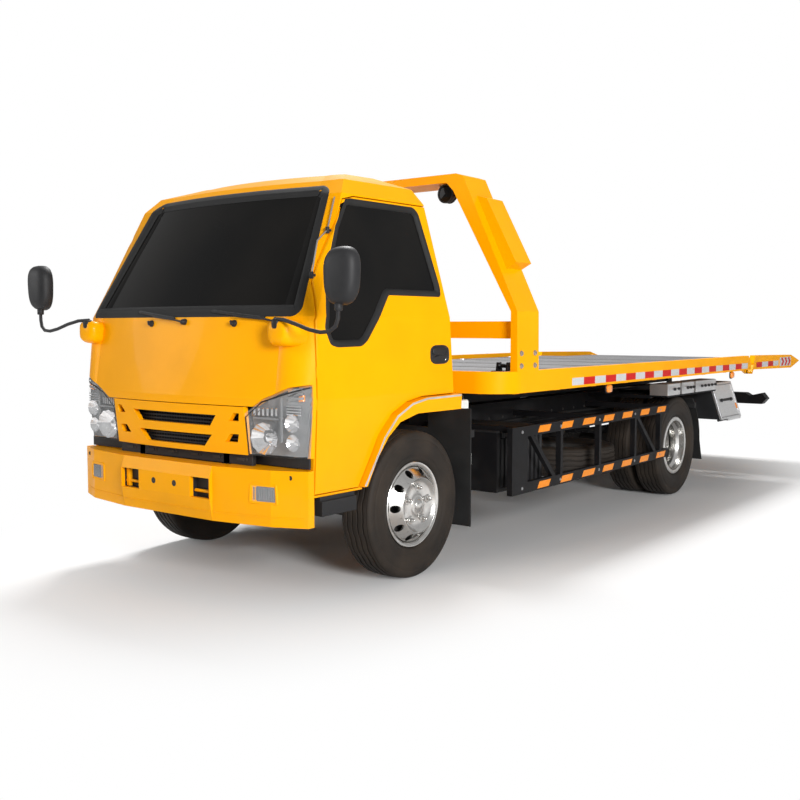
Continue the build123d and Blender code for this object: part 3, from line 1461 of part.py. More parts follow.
# Cab hinge plates ride with the cab, either side of the frame's lugs
def cab_hinge():
    pin = rod_x(cab_pin_radius, cab_lug_x0 - cab_pin_plate * 2, cab_lug_x1 + cab_pin_plate, cab_pivot_y,
                cab_pivot_z)
    plate = block(cab_lug_x0 - cab_pin_plate * 2, cab_lug_x0 - cab_pin_plate, cab_pivot_y - cab_lug_half,
                  cab_plate_y1, cab_pivot_z, floor_z - floor_thickness)
    return pin + plate


def write_cab():
    parts = cab_parts()
    export("cab_shell", largest(parts["shell"]))
    export("arch_flares", *pair(largest(parts["flare"])))
    export("cab_hinges", *pair(cab_hinge()))
    export("cab_roof", largest(parts["roof"]))
    export("front_panel", largest(parts["hood"]))
    export("grille", grille_slots(largest(parts["grille"])))
    export("headlamps", parts["headlamps"])
    export("cab_glass", *[largest(glass) for glass in parts["cab_glass"]])
    for side, word in zip(both_sides, ("left", "right")):
        door = max(side_of(parts["doors"], side), key=lambda solid: solid.volume)
        for barrel in door_knuckles():
            door = door + (barrel if side > 0 else mirrored(barrel))
        glass = max(side_of(parts["door_glass"], side), key=lambda solid: solid.volume)
        export(f"door_{word}", door)
        export(f"door_glass_{word}", glass)
    export("seats", *seats())
    export("dashboard", dashboard())
    export("mirrors", *mirrors())
    export("cab_steps", *cab_steps())


def write_chassis():
    export("chassis_frame", chassis_frame() + boom_mount() + tail_bar())
    export("axles", *axles())
    export("leaf_springs", *leaf_springs())
    export("engine_block", engine())
    export("drive_shaft", drive_shaft())
    export("exhaust", exhaust())
    export("side_boxes", *side_boxes())
    export("spare_wheel", spare_wheel())
    export("side_guards", *pair(side_guard()))
    export("mud_flaps", *mud_flaps())
    export("coolant_bottle", coolant_bottle())
    export("bumper", bumper())
    export("fog_lamps", *fog_lamps())
    export("subframe", subframe() + lever_rail())
    export("control_boxes", *pair(control_box()))
    export("lever_boxes", *lever_boxes())
    export("tail_lamps", *tail_lamps())


def write_bed():
    export("tilt_frame", tilt_frame())
    export("slide_barrel", slide_barrel())
    export("slide_rod", slide_rod())
    export("tilt_barrels", *tilt_barrels())
    export("tilt_rams", *tilt_rams())
    export("bed_frame", bed_frame())
    export("bed_deck", *bed_deck())
    export("headboard", headboard())
    export("winch", winch())
    export("bed_lamps", *bed_lamps())
    beams, deck = tail()
    export("tail_frame", beams)
    export("tail_deck", deck)
    export("boom", boom())
    export("boom_slide", boom_slide())
    for side, word in zip(both_sides, ("left", "right")):
        export(f"box_lid_{word}", lid() if side > 0 else mirrored(lid()))


def write_wheels():
    for side, word in zip(both_sides, ("left", "right")):
        export(f"knuckle_{word}", knuckle(side))
        export(f"front_rim_{word}", front_wheel(side))
        export(f"front_tyre_{word}", tyre(side * front_wheel_x, 0))
        export(f"rear_rims_{word}", rear_wheel(side))
        rear_places = (side * rear_outer_wheel_x, side * rear_inner_wheel_x)
        export(f"rear_tyres_{word}", *[tyre(x, wheelbase) for x in rear_places])


def main():
    os.makedirs("parts", exist_ok=True)
    write_chassis()
    write_wheels()
    write_bed()
    write_cab()


main()
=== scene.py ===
"""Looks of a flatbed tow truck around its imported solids.

Metres. X is the truck's left, Y runs rearwards and Z up from the ground; the origin is the middle
of the length. Pieces take their places from the solids that carry them.
"""
import math

import bmesh
import bpy
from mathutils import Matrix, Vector
from mathutils.bvhtree import BVHTree


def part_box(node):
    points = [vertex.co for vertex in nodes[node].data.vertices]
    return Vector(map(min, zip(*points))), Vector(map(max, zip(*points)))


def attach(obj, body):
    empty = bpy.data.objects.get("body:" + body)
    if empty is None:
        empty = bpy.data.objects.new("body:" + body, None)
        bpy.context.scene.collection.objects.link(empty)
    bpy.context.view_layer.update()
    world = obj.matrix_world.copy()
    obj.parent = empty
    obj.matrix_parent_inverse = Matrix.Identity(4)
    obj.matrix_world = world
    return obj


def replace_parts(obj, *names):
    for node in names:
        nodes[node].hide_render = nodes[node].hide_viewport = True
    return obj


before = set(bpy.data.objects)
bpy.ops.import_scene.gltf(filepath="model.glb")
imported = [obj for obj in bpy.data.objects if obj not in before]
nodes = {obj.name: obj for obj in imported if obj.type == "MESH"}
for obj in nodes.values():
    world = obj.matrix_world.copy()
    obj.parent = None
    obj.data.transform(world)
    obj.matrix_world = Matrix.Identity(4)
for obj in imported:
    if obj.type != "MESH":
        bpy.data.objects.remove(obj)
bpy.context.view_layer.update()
both_sides = (1, -1)
side_word = {1: "left", -1: "right"}

mm = 0.001
axle_y = sum(corner.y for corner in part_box("front_tyre_left")) / 2


def spot(x, y, z):
    """A place in metres from millimetres off the middle of the truck, the front axle and the ground."""
    return Vector((x * mm, y * mm + axle_y, z * mm))


def solid_box(name):
    """The low and high corners of a solid, in millimetres as spot takes them."""
    return [(Vector(corner) - Vector((0, axle_y, 0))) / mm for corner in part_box(name)]


front_low, front_high = solid_box("front_tyre_left")
rear_low, rear_high = solid_box("rear_tyres_left")
rear_axle, hub_height = (rear_low.y + rear_high.y) / 2, (front_low.z + front_high.z) / 2
tyre_width = front_high.x - front_low.x
front_wheel_x = (front_low.x + front_high.x) / 2
outer_wheel_x, inner_wheel_x = rear_high.x - tyre_width / 2, rear_low.x + tyre_width / 2
rail_face, rail_top = solid_box("bed_frame")[1].x, solid_box("bed_frame")[1].z
deck_top = solid_box("bed_deck")[1].z


# Shader maths

class Socket:
    """A shader output that can be added, multiplied and compared as a number."""

    def __init__(self, shading, node, output=0):
        self.shading, self.node = shading, node
        self.socket = node.outputs[output] if node.outputs else None

    def _math(self, operation, *values):
        return self.shading.node("ShaderNodeMath", {"operation": operation}, values)

    def __add__(self, other):
        return self._math("ADD", self, other)

    __radd__ = __add__

    def __sub__(self, other):
        return self._math("SUBTRACT", self, other)

    def __rsub__(self, other):
        return self._math("SUBTRACT", other, self)

    def __mul__(self, other):
        return self._math("MULTIPLY", self, other)

    __rmul__ = __mul__

    def __truediv__(self, other):
        return self._math("DIVIDE", self, other)

    def __pow__(self, other):
        return self._math("POWER", self, other)

    def __gt__(self, other):
        return self._math("GREATER_THAN", self, other)

    def __lt__(self, other):
        return self._math("LESS_THAN", self, other)

    def __mod__(self, other):
        return self._math("FLOORED_MODULO", self, other)

    def size(self):
        return self._math("ABSOLUTE", self)


class Shading:
    """A node tree whose nodes all come from one method."""

    def __init__(self, tree):
        self.tree = tree
        self.tree.nodes.clear()

    def node(self, kind, settings=None, values=(), output=0):
        """Add a node: its settings first, then the values or links of its sockets."""
        node = self.tree.nodes.new(kind)
        for word, value in (settings or {}).items():
            setattr(node, word, value)
        pairs = values.items() if isinstance(values, dict) else enumerate(values)
        for key, value in pairs:
            self.link(node.inputs[key], value)
        return Socket(self, node, output)

    def link(self, socket, value):
        if isinstance(value, Socket):
            self.tree.links.new(value.socket, socket)
        else:
            socket.default_value = value


class Finish(Shading):
    """A material made of one Principled shader and the nodes that vary it."""

    def __init__(self, name, colour=None, roughness=0.5, **constants):
        self.material = bpy.data.materials.new(name)
        self.material.use_nodes = True
        super().__init__(self.material.node_tree)
        self.shader = self.node("ShaderNodeBsdfPrincipled")
        self.output = self.node("ShaderNodeOutputMaterial", values=(self.shader,))
        self.place = self.node("ShaderNodeTexCoord", output="Object")
        self.set("Roughness", roughness)
        if colour:
            self.set("Base Color", (*colour, 1.0))
        for word, value in constants.items():
            self.set(word.replace("_", " ").title().replace("Ior", "IOR"), value)

    def set(self, name, value):
        self.link(self.shader.node.inputs[name], value)

    def mix(self, share, first, second):
        """Blend two colours."""
        sockets = {0: share, 6: self.rgba(first), 7: self.rgba(second)}
        return self.node("ShaderNodeMix", {"data_type": "RGBA"}, sockets, 2)

    @staticmethod
    def rgba(colour):
        return (*colour, 1.0) if isinstance(colour, tuple) else colour

    def noise(self, scale, detail=4.0, stretch=(1.0, 1.0, 1.0)):
        """Cloudy values between 0 and 1, finer with a larger scale."""
        place = self.node("ShaderNodeMapping", values={"Vector": self.place, "Scale": stretch})
        return self.node("ShaderNodeTexNoise", values={"Vector": place, "Scale": scale, "Detail": detail})

    def axis(self, letter):
        """Metres along one axis of the piece."""
        return self.node("ShaderNodeSeparateXYZ", values=(self.place,), output=letter)

    def soft(self, value, low, high):
        """0 below low, 1 above high, and a smooth rise between them."""
        sockets = {"Value": value, "From Min": low, "From Max": high}
        return self.node("ShaderNodeMapRange", {"interpolation_type": "SMOOTHSTEP"}, sockets)

    def bump(self, height, distance, strength=1.0):
        sockets = {"Height": height, "Distance": distance, "Strength": strength}
        self.set("Normal", self.node("ShaderNodeBump", values=sockets))

    def ridges(self, letter, pitch):
        """0 on a valley and half on a ridge, repeated along one axis."""
        return ((self.axis(letter) / pitch) % 1.0 - 0.5).size()


def shaded(colour, share, lift=0.0):
    """A colour made darker or lighter by a share."""
    return tuple(part * share + lift for part in colour)


road_dust = (0.40, 0.26, 0.10)


def paint(name, colour, coat, dust=road_dust, dust_top=0.75, roughness=0.32):
    """Sprayed enamel with a light road film low down and a fine ripple."""
    finish = Finish(name, roughness=roughness, coat_weight=coat, coat_roughness=0.06,
                    specular_ior_level=0.06)
    cloud = finish.soft(finish.noise(3.0, 5.0), 0.35, 0.7)
    shade = finish.mix(cloud, colour, shaded(colour, 0.94))
    film = (1 - finish.soft(finish.axis("Z"), 0.3, dust_top)) * finish.soft(finish.noise(9.0, 6.0), 0.3, 0.75)
    finish.set("Base Color", finish.mix(film * 0.1, shade, dust))
    orange_peel = finish.soft(finish.noise(14.0, 3.0), 0.2, 0.9)
    finish.set("Roughness", orange_peel * 0.1 + (film * 0.25 + roughness))
    finish.bump(finish.noise(160.0, 2.0), 0.0002, 0.25)
    return finish.material


def grained(name, colour, roughness=0.6, grain=350.0, depth=0.0004):
    """Moulded plastic or rubber with a fine grain."""
    finish = Finish(name, roughness=roughness, specular_ior_level=0.28)
    cloud = finish.noise(6.0, 5.0)
    faded = shaded(colour, 1.4, 0.003)
    finish.set("Base Color", finish.mix(finish.soft(cloud, 0.3, 0.75), colour, faded))
    finish.set("Roughness", finish.soft(cloud, 0.2, 0.8) * 0.15 + roughness)
    finish.bump(finish.noise(grain, 3.0), depth, 0.5)
    return finish.material


def tyre_rubber():
    """Brownish black rubber with cloudy patches of dust."""
    finish = Finish("tyre_rubber", roughness=0.72, specular_ior_level=0.3)
    cloud = finish.noise(5.0, 6.0)
    clean, dusty = (0.012, 0.009, 0.007), (0.034, 0.025, 0.018)
    finish.set("Base Color", finish.mix(finish.soft(cloud, 0.3, 0.75), clean, dusty))
    finish.set("Roughness", finish.soft(cloud, 0.2, 0.8) * 0.2 + 0.6)
    finish.bump(finish.noise(120.0, 4.0), 0.0008, 0.5)
    return finish.material


def metal(name, colour, roughness, brushed, scale, spread):
    """Bare metal with fine scratches, drawn out along an axis where brushed is small."""
    finish = Finish(name, metallic=1.0)
    scratch = finish.noise(scale, 6.0, brushed)
    finish.set("Base Color", finish.mix(finish.soft(scratch, 0.25, 0.8), colour, shaded(colour, 0.82)))
    finish.set("Roughness", finish.soft(scratch, 0.2, 0.9) * spread + roughness)
    finish.bump(scratch, 0.0002, 0.2)
    return finish.material


def deck_plate():
    """Grey chequer plate: short raised bars in two crossing directions, worn bright on top."""
    finish = Finish("chequer_plate", metallic=0.5)
    x, y = finish.axis("X"), finish.axis("Y")
    pitch = 0.034
    across, along = (x + y) / pitch, (x - y) / pitch
    cell = ((across - across % 1.0) + (along - along % 1.0)) % 2.0

    def bar(lengthways, crossways):
        """1 on a bar in the middle of a cell."""
        long_part = finish.soft(0.34 - ((lengthways % 1.0) - 0.5).size(), 0.0, 0.1)
        return long_part * finish.soft(0.15 - ((crossways % 1.0) - 0.5).size(), 0.0, 0.06)

    bars = bar(across, along) * (cell < 0.5) + bar(along, across) * (cell > 0.5)
    grime = finish.soft(finish.noise(4.0, 6.0), 0.3, 0.75)
    base = finish.mix(grime, (0.17, 0.17, 0.175), (0.12, 0.117, 0.115))
    finish.set("Base Color", finish.mix(bars * 0.5, base, (0.4, 0.4, 0.41)))
    finish.set("Roughness", grime * 0.06 + (0.56 - bars * 0.12))
    finish.bump(bars, 0.002, 0.8)
    return finish.material


def painted_shade_glass():
    """Window glass as an opaque near-black pane, painted shade of the dark inside behind it."""
    finish = Finish("painted_shade_glass", roughness=0.04, specular_ior_level=0.08)
    film = finish.soft(finish.noise(2.0, 2.0), 0.3, 0.8)
    # painted shade: near-black colour with a faint cloudy tone stands for the dark space seen through the
    # glass
    finish.set("Base Color", finish.mix(film, (0.006, 0.006, 0.006), (0.011, 0.010, 0.009)))
    finish.set("Roughness", finish.noise(30.0, 3.0) * 0.05 + 0.03)
    return finish.material


def clear_lens():
    """Clear moulded cover: mostly see-through, with a sharp gloss."""
    finish = Finish("lamp_cover", (0.93, 0.95, 0.96), roughness=0.05, ior=1.45)
    speck = finish.soft(finish.noise(40.0, 3.0), 0.35, 0.8)
    finish.set("Alpha", speck * 0.05 + 0.08)
    finish.material.surface_render_method = "BLENDED"
    return finish.material


def coloured_lens(name, colour):
    """Moulded lens with ribs, painted lighter on their crests as a highlight."""
    finish = Finish(name, roughness=0.18, coat_weight=0.6)
    ribs = finish.ridges("Z", 0.006) * 2.0
    # painted highlight: a lighter copy of the lens colour, laid on the ribs' crests below
    bright = tuple(min(1.0, part) for part in shaded(colour, 1.5, 0.03))
    finish.set("Base Color", finish.mix(ribs * 0.6, colour, bright))
    finish.bump(ribs, 0.001, 0.6)
    return finish.material


def woven(name, colour, thread=0.003):
    """Seat cloth of crossing threads."""
    finish = Finish(name, roughness=0.9, sheen_weight=0.2)
    weave = finish.ridges("X", thread) + finish.ridges("Z", thread)
    finish.set("Base Color", finish.mix(weave, colour, shaded(colour, 1.8)))
    finish.bump(weave, 0.0008, 0.6)
    return finish.material


def reflector(name, colour):
    """Prismatic sheet: a fine honeycomb in a strong colour."""
    finish = Finish(name, roughness=0.4, coat_weight=0.05, specular_ior_level=0.2)
    cells = finish.node("ShaderNodeTexVoronoi", {"feature": "DISTANCE_TO_EDGE"},
                        {"Vector": finish.place, "Scale": 260.0})
    edge = finish.soft(cells, 0.0, 0.09)
    finish.set("Base Color", finish.mix(edge, shaded(colour, 0.72), colour))
    finish.set("Roughness", 0.42 - edge * 0.14)
    return finish.material


even, lengthways = (1.0, 1.0, 1.0), (1.0, 0.1, 1.0)
yellow_paint = paint("yellow_enamel", (0.97, 0.40, 0.0), coat=0.05)
frame_paint = paint("black_frame_enamel", (0.008, 0.008, 0.009), coat=0.1, dust=(0.06, 0.05, 0.04),
                    dust_top=1.1, roughness=0.42)
black_plastic = grained("black_plastic", (0.014, 0.014, 0.015), 0.45)
rubber = grained("black_rubber", (0.012, 0.012, 0.012), 0.62, 220.0)
rubber_tyre = tyre_rubber()
cast_iron = grained("cast_iron", (0.03, 0.028, 0.026), 0.55, 140.0, 0.001)
polished = metal("polished_alloy", (0.66, 0.65, 0.63), 0.16, even, 22.0, 0.14)
chrome = metal("chrome_plate", (0.92, 0.92, 0.93), 0.06, even, 30.0, 0.05)
stainless = metal("stainless_sheet", (0.86, 0.86, 0.86), 0.38, (2.0, 0.06, 2.0), 300.0, 0.16)
bare_steel = metal("bare_steel", (0.5, 0.5, 0.51), 0.3, lengthways, 120.0, 0.2)
grey_trim = grained("grey_trim", (0.36, 0.35, 0.33), 0.5)
chequer = deck_plate()
dark_glass = painted_shade_glass()
lamp_cover = clear_lens()
lamp_silver = metal("lamp_silver", (0.86, 0.87, 0.9), 0.12, even, 45.0, 0.1)
lamp_grey = grained("lamp_grey", (0.17, 0.175, 0.18), 0.35, 300.0, 0.0003)
amber = coloured_lens("amber_lens", (0.85, 0.23, 0.01))
red = coloured_lens("red_lens", (0.55, 0.012, 0.008))
seat_cloth = woven("seat_cloth", (0.03, 0.03, 0.033))
red_sheet = reflector("red_sheet", (0.6, 0.006, 0.004))
white_sheet = reflector("white_sheet", (0.6, 0.6, 0.6))
amber_sheet = reflector("amber_sheet", (0.85, 0.25, 0.0))
milky = grained("milky_plastic", (0.72, 0.75, 0.72), 0.35, 100.0, 0.0002)

node_finish = {
    yellow_paint: ["cab_shell", "arch_flares", "cab_roof", "front_panel", "grille", "bumper", "door_left",
                   "door_right", "bed_frame", "headboard", "tail_frame"],
    frame_paint: ["chassis_frame", "leaf_springs", "subframe", "tilt_frame", "cab_hinges", "exhaust",
                  "tilt_barrels", "boom", "boom_slide", "winch", "slide_barrel", "side_guards", "side_boxes"],
    black_plastic: ["cab_steps", "dashboard", "mirrors", "control_boxes"],
    rubber: ["mud_flaps"],
    cast_iron: ["axles", "engine_block", "drive_shaft", "knuckle_left", "knuckle_right", "spare_wheel"],
    rubber_tyre: ["front_tyre_left", "front_tyre_right", "rear_tyres_left", "rear_tyres_right"],
    polished: ["front_rim_left", "front_rim_right", "rear_rims_left", "rear_rims_right"],
    stainless: ["box_lid_left", "box_lid_right", "lever_boxes"],
    bare_steel: ["tilt_rams", "slide_rod"],
    chequer: ["bed_deck", "tail_deck"],
    dark_glass: ["cab_glass", "door_glass_left", "door_glass_right"],
    lamp_silver: ["headlamps", "fog_lamps"],
    amber: ["bed_lamps"],
    red: ["tail_lamps"],
    seat_cloth: ["seats"],
    milky: ["coolant_bottle"],
}
# edge radii in millimetres, and the angles in degrees below which faces blend, of nodes that differ
usual_radius, usual_blend = 2, 32
edge_radius = {"cab_shell": 4, "cab_roof": 5, "door_left": 3, "door_right": 3, "front_panel": 3, "grille": 4,
               "bumper": 18, "bed_frame": 3, "headboard": 7, "tail_frame": 5, "mirrors": 0, "arch_flares": 5,
               "side_guards": 4, "chassis_frame": 3, "boom_slide": 5, "lever_boxes": 4, "seats": 30}
blend_angle = {"cab_roof": 62, "front_panel": 50, "cab_shell": 40}


def smooth(piece, angle):
    """Shade faces as one where they meet below an angle."""
    piece.data.shade_smooth()
    piece.data.set_sharp_from_angle(angle=math.radians(angle))


def rounded(piece, radius):
    """Round the piece's edges and keep its faces flat."""
    bevel = piece.modifiers.new("edges", "BEVEL")
    bevel.width, bevel.segments, bevel.limit_method = radius * mm, 2, "ANGLE"
    bevel.angle_limit = math.radians(35)
    bevel.harden_normals = True


def dress_nodes():
    """Give every solid its finish, its shading and its rounded edges."""
    for material, names in node_finish.items():
        for name in names:
            node = nodes[name]
            node.data.materials.clear()
            node.data.materials.append(material)
            smooth(node, blend_angle.get(name, usual_blend))
            radius = edge_radius.get(name, usual_radius)
            if radius:
                rounded(node, radius)


dress_nodes()


# Mesh work

def box_points(low, high, foot, top):
    """The corners of a box outline."""
    return [(low, foot), (high, foot), (high, top), (low, top)]


def on_front(points, y, side=1):
    """Lay an (across, up) outline on a plane that faces forwards."""
    return [spot(side * x, y, z) for x, z in points]


def on_side(points, x):
    """Lay an (along, up) outline on a plane that faces sideways."""
    return [spot(x, y, z) for y, z in points]


def on_top(points, z, side=1):
    """Lay an (across, along) outline on a level plane."""
    return [spot(side * x, y, z) for x, y in points]


def added(name, mesh, material):
    """Put a mesh with its one material into the scene."""
    piece = bpy.data.objects.new(name, mesh)
    mesh.materials.append(material)
    bpy.context.scene.collection.objects.link(piece)
    return piece


def carried(piece, body):
    """Let a piece ride on a body."""
    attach(piece, body)
    return piece


class Work:
    """Mesh work for one piece, gathered in metres before it is joined."""

    def __init__(self):
        self.mesh = bmesh.new()

    def grid(self, rows, around=False, along=False):
        """Skin rows of points; around closes each row, along joins the last row to the first."""
        rings = [[self.mesh.verts.new(point) for point in row] for row in rows]
        last = len(rings) if along else len(rings) - 1
        for index in range(last):
            near, far = rings[index], rings[(index + 1) % len(rings)]
            count = len(near) if around else len(near) - 1
            for step in range(count):
                following = (step + 1) % len(near)
                self.mesh.faces.new((near[step], near[following], far[following], far[step]))
        return rings

    def capped(self, rows, both=False):
        """Skin closed rows and close the last one, or both ends."""
        rings = self.grid(rows, around=True)
        self.mesh.faces.new(rings[-1])
        if both:
            self.mesh.faces.new(list(reversed(rings[0])))

    def turned(self, profile, centre, axis, segments, closed=False, zigzag=None, side=1):
        """Turn (along, radius) points about an axis through the centre.

        zigzag shifts each point to and fro by turns, and side -1 turns the profile the other way."""
        rows = []
        for turn in range(segments):
            angle = 2 * math.pi * turn / segments
            row = []
            for index, (along, radius) in enumerate(profile):
                if zigzag:
                    along += zigzag[index] * (1 if turn % 6 < 3 else -1)
                first, second = radius * math.cos(angle), radius * math.sin(angle)
                along *= side
                offset = {"X": (along, first, second), "Y": (second, along, first),
                          "Z": (first, second, along)}[axis]
                row.append(centre + Vector(offset) * mm)
            rows.append(row)
        self.grid(rows, around=closed, along=True)

    def tube(self, route, radius, segments=12):
        """A round rod along straight runs between the points of a route."""
        route = [Vector(point) for point in route]
        rows = []
        side = None
        for index, point in enumerate(route):
            run = (route[min(index + 1, len(route) - 1)] - route[max(index - 1, 0)]).normalized()
            if side is None:
                side = run.orthogonal().normalized()
            side = (side - run * side.dot(run)).normalized()
            other = run.cross(side)
            rows.append([point + (side * math.cos(a) + other * math.sin(a)) * radius * mm
                         for a in (2 * math.pi * k / segments for k in range(segments))])
        self.capped(rows, both=True)

    def slab(self, outline, lift, chamfer=0.0):
        """Raise a flat outline by a lift in millimetres, with its upper edge drawn in by a chamfer."""
        points = [Vector(point) for point in outline]
        centre = sum(points, Vector()) / len(points)
        lift = Vector(lift) * mm
        rows = [points]
        if chamfer:
            rim = lift.normalized() * chamfer * mm
            rows.append([point + lift - rim for point in points])
            rows.append([point + lift + (centre - point).normalized() * chamfer * mm for point in points])
        else:
            rows.append([point + lift for point in points])
        self.capped(rows, both=True)

    def bolt(self, centre, axis, size, height=0.6, dome=False):
        """A hexagon head, or one with a domed cap."""
        axis = Vector(axis).normalized()
        side = axis.orthogonal().normalized()
        other = axis.cross(side)

        def ring(radius, rise, count):
            angles = [2 * math.pi * k / count for k in range(count)]
            return [centre + (side * math.cos(a) + other * math.sin(a)) * radius * mm + axis * rise * mm
                    for a in angles]

        top = size * height
        washer_shares = ((1.25, 0), (1.2, 0.15), (0.9, 0.18))
        self.capped([ring(size * across, size * up, 18) for across, up in washer_shares])
        self.capped([ring(size, size * 0.1, 6), ring(size, top * 0.86, 6), ring(size * 0.86, top, 6)])
        if dome:
            self.capped([ring(size * 0.7 * math.cos(a), top + size * 0.9 * math.sin(a), 12)
                         for a in (0.0, 0.5, 0.9, 1.25, 1.5)])

    def done(self, name, material, body, slot, angle=usual_blend):
        """Join the mesh work into a named piece that a body carries."""
        bmesh.ops.remove_doubles(self.mesh, verts=self.mesh.verts, dist=0.00001)
        bmesh.ops.recalc_face_normals(self.mesh, faces=self.mesh.faces)
        mesh = bpy.data.meshes.new(name)
        self.mesh.to_mesh(mesh)
        self.mesh.free()
        piece = added(name, mesh, material)
        smooth(piece, angle)
        return carried(piece, body)


def rounded_corners(points, share, times=2):
    """Cut the corners of a closed outline into short arcs."""
    for _ in range(times):
        cut = []
        for index, point in enumerate(points):
            following = points[(index + 1) % len(points)]
            cut.append(tuple(a + (b - a) * share for a, b in zip(point, following)))
            cut.append(tuple(a + (b - a) * (1 - share) for a, b in zip(point, following)))
        points = cut
    return points


def filleted(points, radius, steps=5):
    """Round the corners of a closed outline to one radius."""
    result = []
    for index, point in enumerate(points):
        before, after = points[index - 1], points[(index + 1) % len(points)]
        reach_in = min(radius, math.dist(before, point) * 0.49)
        reach_out = min(radius, math.dist(point, after) * 0.49)
        start = tuple(a + (b - a) * reach_in / math.dist(before, point) for a, b in zip(point, before))
        end = tuple(a + (b - a) * reach_out / math.dist(point, after) for a, b in zip(point, after))
        for step in range(steps + 1):
            t = step / steps
            result.append(tuple((1 - t) ** 2 * a + 2 * t * (1 - t) * b + t * t * c
                                for a, b, c in zip(start, point, end)))
    return result


def spread(points, step, closed=True):
    """Add points so that none lie further apart than a step."""
    result = []
    count = len(points) if closed else len(points) - 1
    for index in range(count):
        start, end = points[index], points[(index + 1) % len(points)]
        pieces_between = max(1, math.ceil(math.dist(start, end) / step))
        for part in range(pieces_between):
            result.append(tuple(a + (b - a) * part / pieces_between for a, b in zip(start, end)))
    if not closed:
        result.append(points[-1])
    return result


def outward(points, distance):
    """Move a closed flat outline out (or in, below zero) along its normals."""
    area = sum(a[0] * b[1] - b[0] * a[1] for a, b in zip(points, points[1:] + points[:1]))
    turn = 1 if area > 0 else -1
    moved = []
    for index, point in enumerate(points):
        before, after = points[index - 1], points[(index + 1) % len(points)]
        run = (after[0] - before[0], after[1] - before[1])
        length = math.hypot(*run) or 1.0
        reach = turn * distance / length
        moved.append((point[0] + run[1] * reach, point[1] - run[0] * reach))
    return moved


class Surface:
    """The outer surface of some solids, asked for its depth from the front, a side or the back."""

    def __init__(self, *names):
        graph = bpy.context.evaluated_depsgraph_get()
        self.trees = [BVHTree.FromObject(nodes[name], graph) for name in names]

    def _first(self, start, run):
        hits = [tree.ray_cast(start, run) for tree in self.trees]
        hits = [hit for hit in hits if hit[0] is not None]
        return min(hits, key=lambda hit: hit[3]) if hits else None

    def front(self, x, z, miss=None):
        hit = self._first(Vector((x * mm, -5.0, z * mm)), Vector((0, 1, 0)))
        return hit[0] if hit else miss

    def side(self, y, z, side):
        hit = self._first(Vector((side * 3.0, y * mm + axle_y, z * mm)), Vector((-side, 0, 0)))
        return hit[0] if hit else None

    def back(self, x, z, y_from):
        hit = self._first(Vector((x * mm, y_from * mm + axle_y, z * mm)), Vector((0, -1, 0)))
        return hit[0] if hit else None


# Wheels: half the tyre's section as (across, radius), and its grooves as (middle, half width, depth)

tyre_wall = [(67.7, 203.3), (67.7, 226), (74, 228.5), (84, 236), (91, 252), (93.5, 262), (96.5, 265),
             (98.5, 285), (100, 304), (99.6, 326), (98.2, 340), (96.8, 342), (96.6, 347), (97.4, 349),
             (95.2, 362), (91, 373), (85, 381)]
tread_grooves = [(-74, 1.6, 5), (-50, 5, 9), (-17, 5, 9), (17, 5, 9), (50, 5, 9), (74, 1.6, 5)]
crown_radius, crown_drop, crown_half = 387.5, 4.5, 80
groove_sway, groove_lip, lip_drop = 2.4, 0.8, 1.2


def tyre_section():
    """The whole section of a tyre with its cut grooves, and the zigzag of each point."""
    points = [(x, r, 0.0) for x, r in tyre_wall]
    for middle, half, depth in reversed(tread_grooves):
        crown = crown_radius - crown_drop * (middle / crown_half) ** 2
        sway = groove_sway if half > groove_sway else 0.0
        far_side = [(half + groove_lip, 0), (half, lip_drop), (half * 0.6, depth)]
        near_side = [(-reach, drop) for reach, drop in reversed(far_side)]
        points += [(middle + reach, crown - drop, sway) for reach, drop in far_side + near_side]
    points += [(-x, r, 0.0) for x, r in reversed(tyre_wall)]
    return [(x, r) for x, r, _ in points], [sway for _, _, sway in points]


def tyre(name, centres, axis, body, node):
    """A ribbed tyre, or twins side by side, in place of a plain solid."""
    work = Work()
    section, sways = tyre_section()
    for centre in centres:
        work.turned(section, centre, axis, 120, closed=True, zigzag=sways)
    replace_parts(work.done(name, rubber_tyre, body, "tyre_rubber", 40), node)


def ring_of(centre, side, along, circle, count, start=0.0):
    """Places evenly round a wheel's axle."""
    angles = [2 * math.pi * (index + start) / count for index in range(count)]
    return [centre + Vector((side * along, circle * math.cos(a), circle * math.sin(a))) * mm for a in angles]


def holed_cone(work, centre, side, inner, outer, hole_circle, hole_radius, count, cone):
    """A ring of sectors with a round hole each; the cone gives the place along the axle of a radius."""
    directions, wall = 32, 16
    half = math.pi / count
    for sector in range(count):
        middle = 2 * math.pi * sector / count
        rows = []
        for step in range(directions):
            a = 2 * math.pi * step / directions
            c, s = math.cos(a), math.sin(a)
            reach_r = (outer - hole_circle) / c if c > 0 else (inner - hole_circle) / c if c < 0 else 1e9
            reach_t = half * hole_circle / abs(s) if s else 1e9
            edge = min(reach_r, reach_t)
            row = []
            for share, depth in ((0.0, wall), (0.0, 0), (0.35, 0), (1.0, 0)):
                reach = hole_radius + (edge - hole_radius) * share
                radius, angle = hole_circle + reach * c, middle + reach * s / hole_circle
                along = side * (cone(radius) - depth)
                row.append(centre + Vector((along, radius * math.cos(angle), radius * math.sin(angle))) * mm)
            rows.append(row)
        work.grid(rows, along=True)


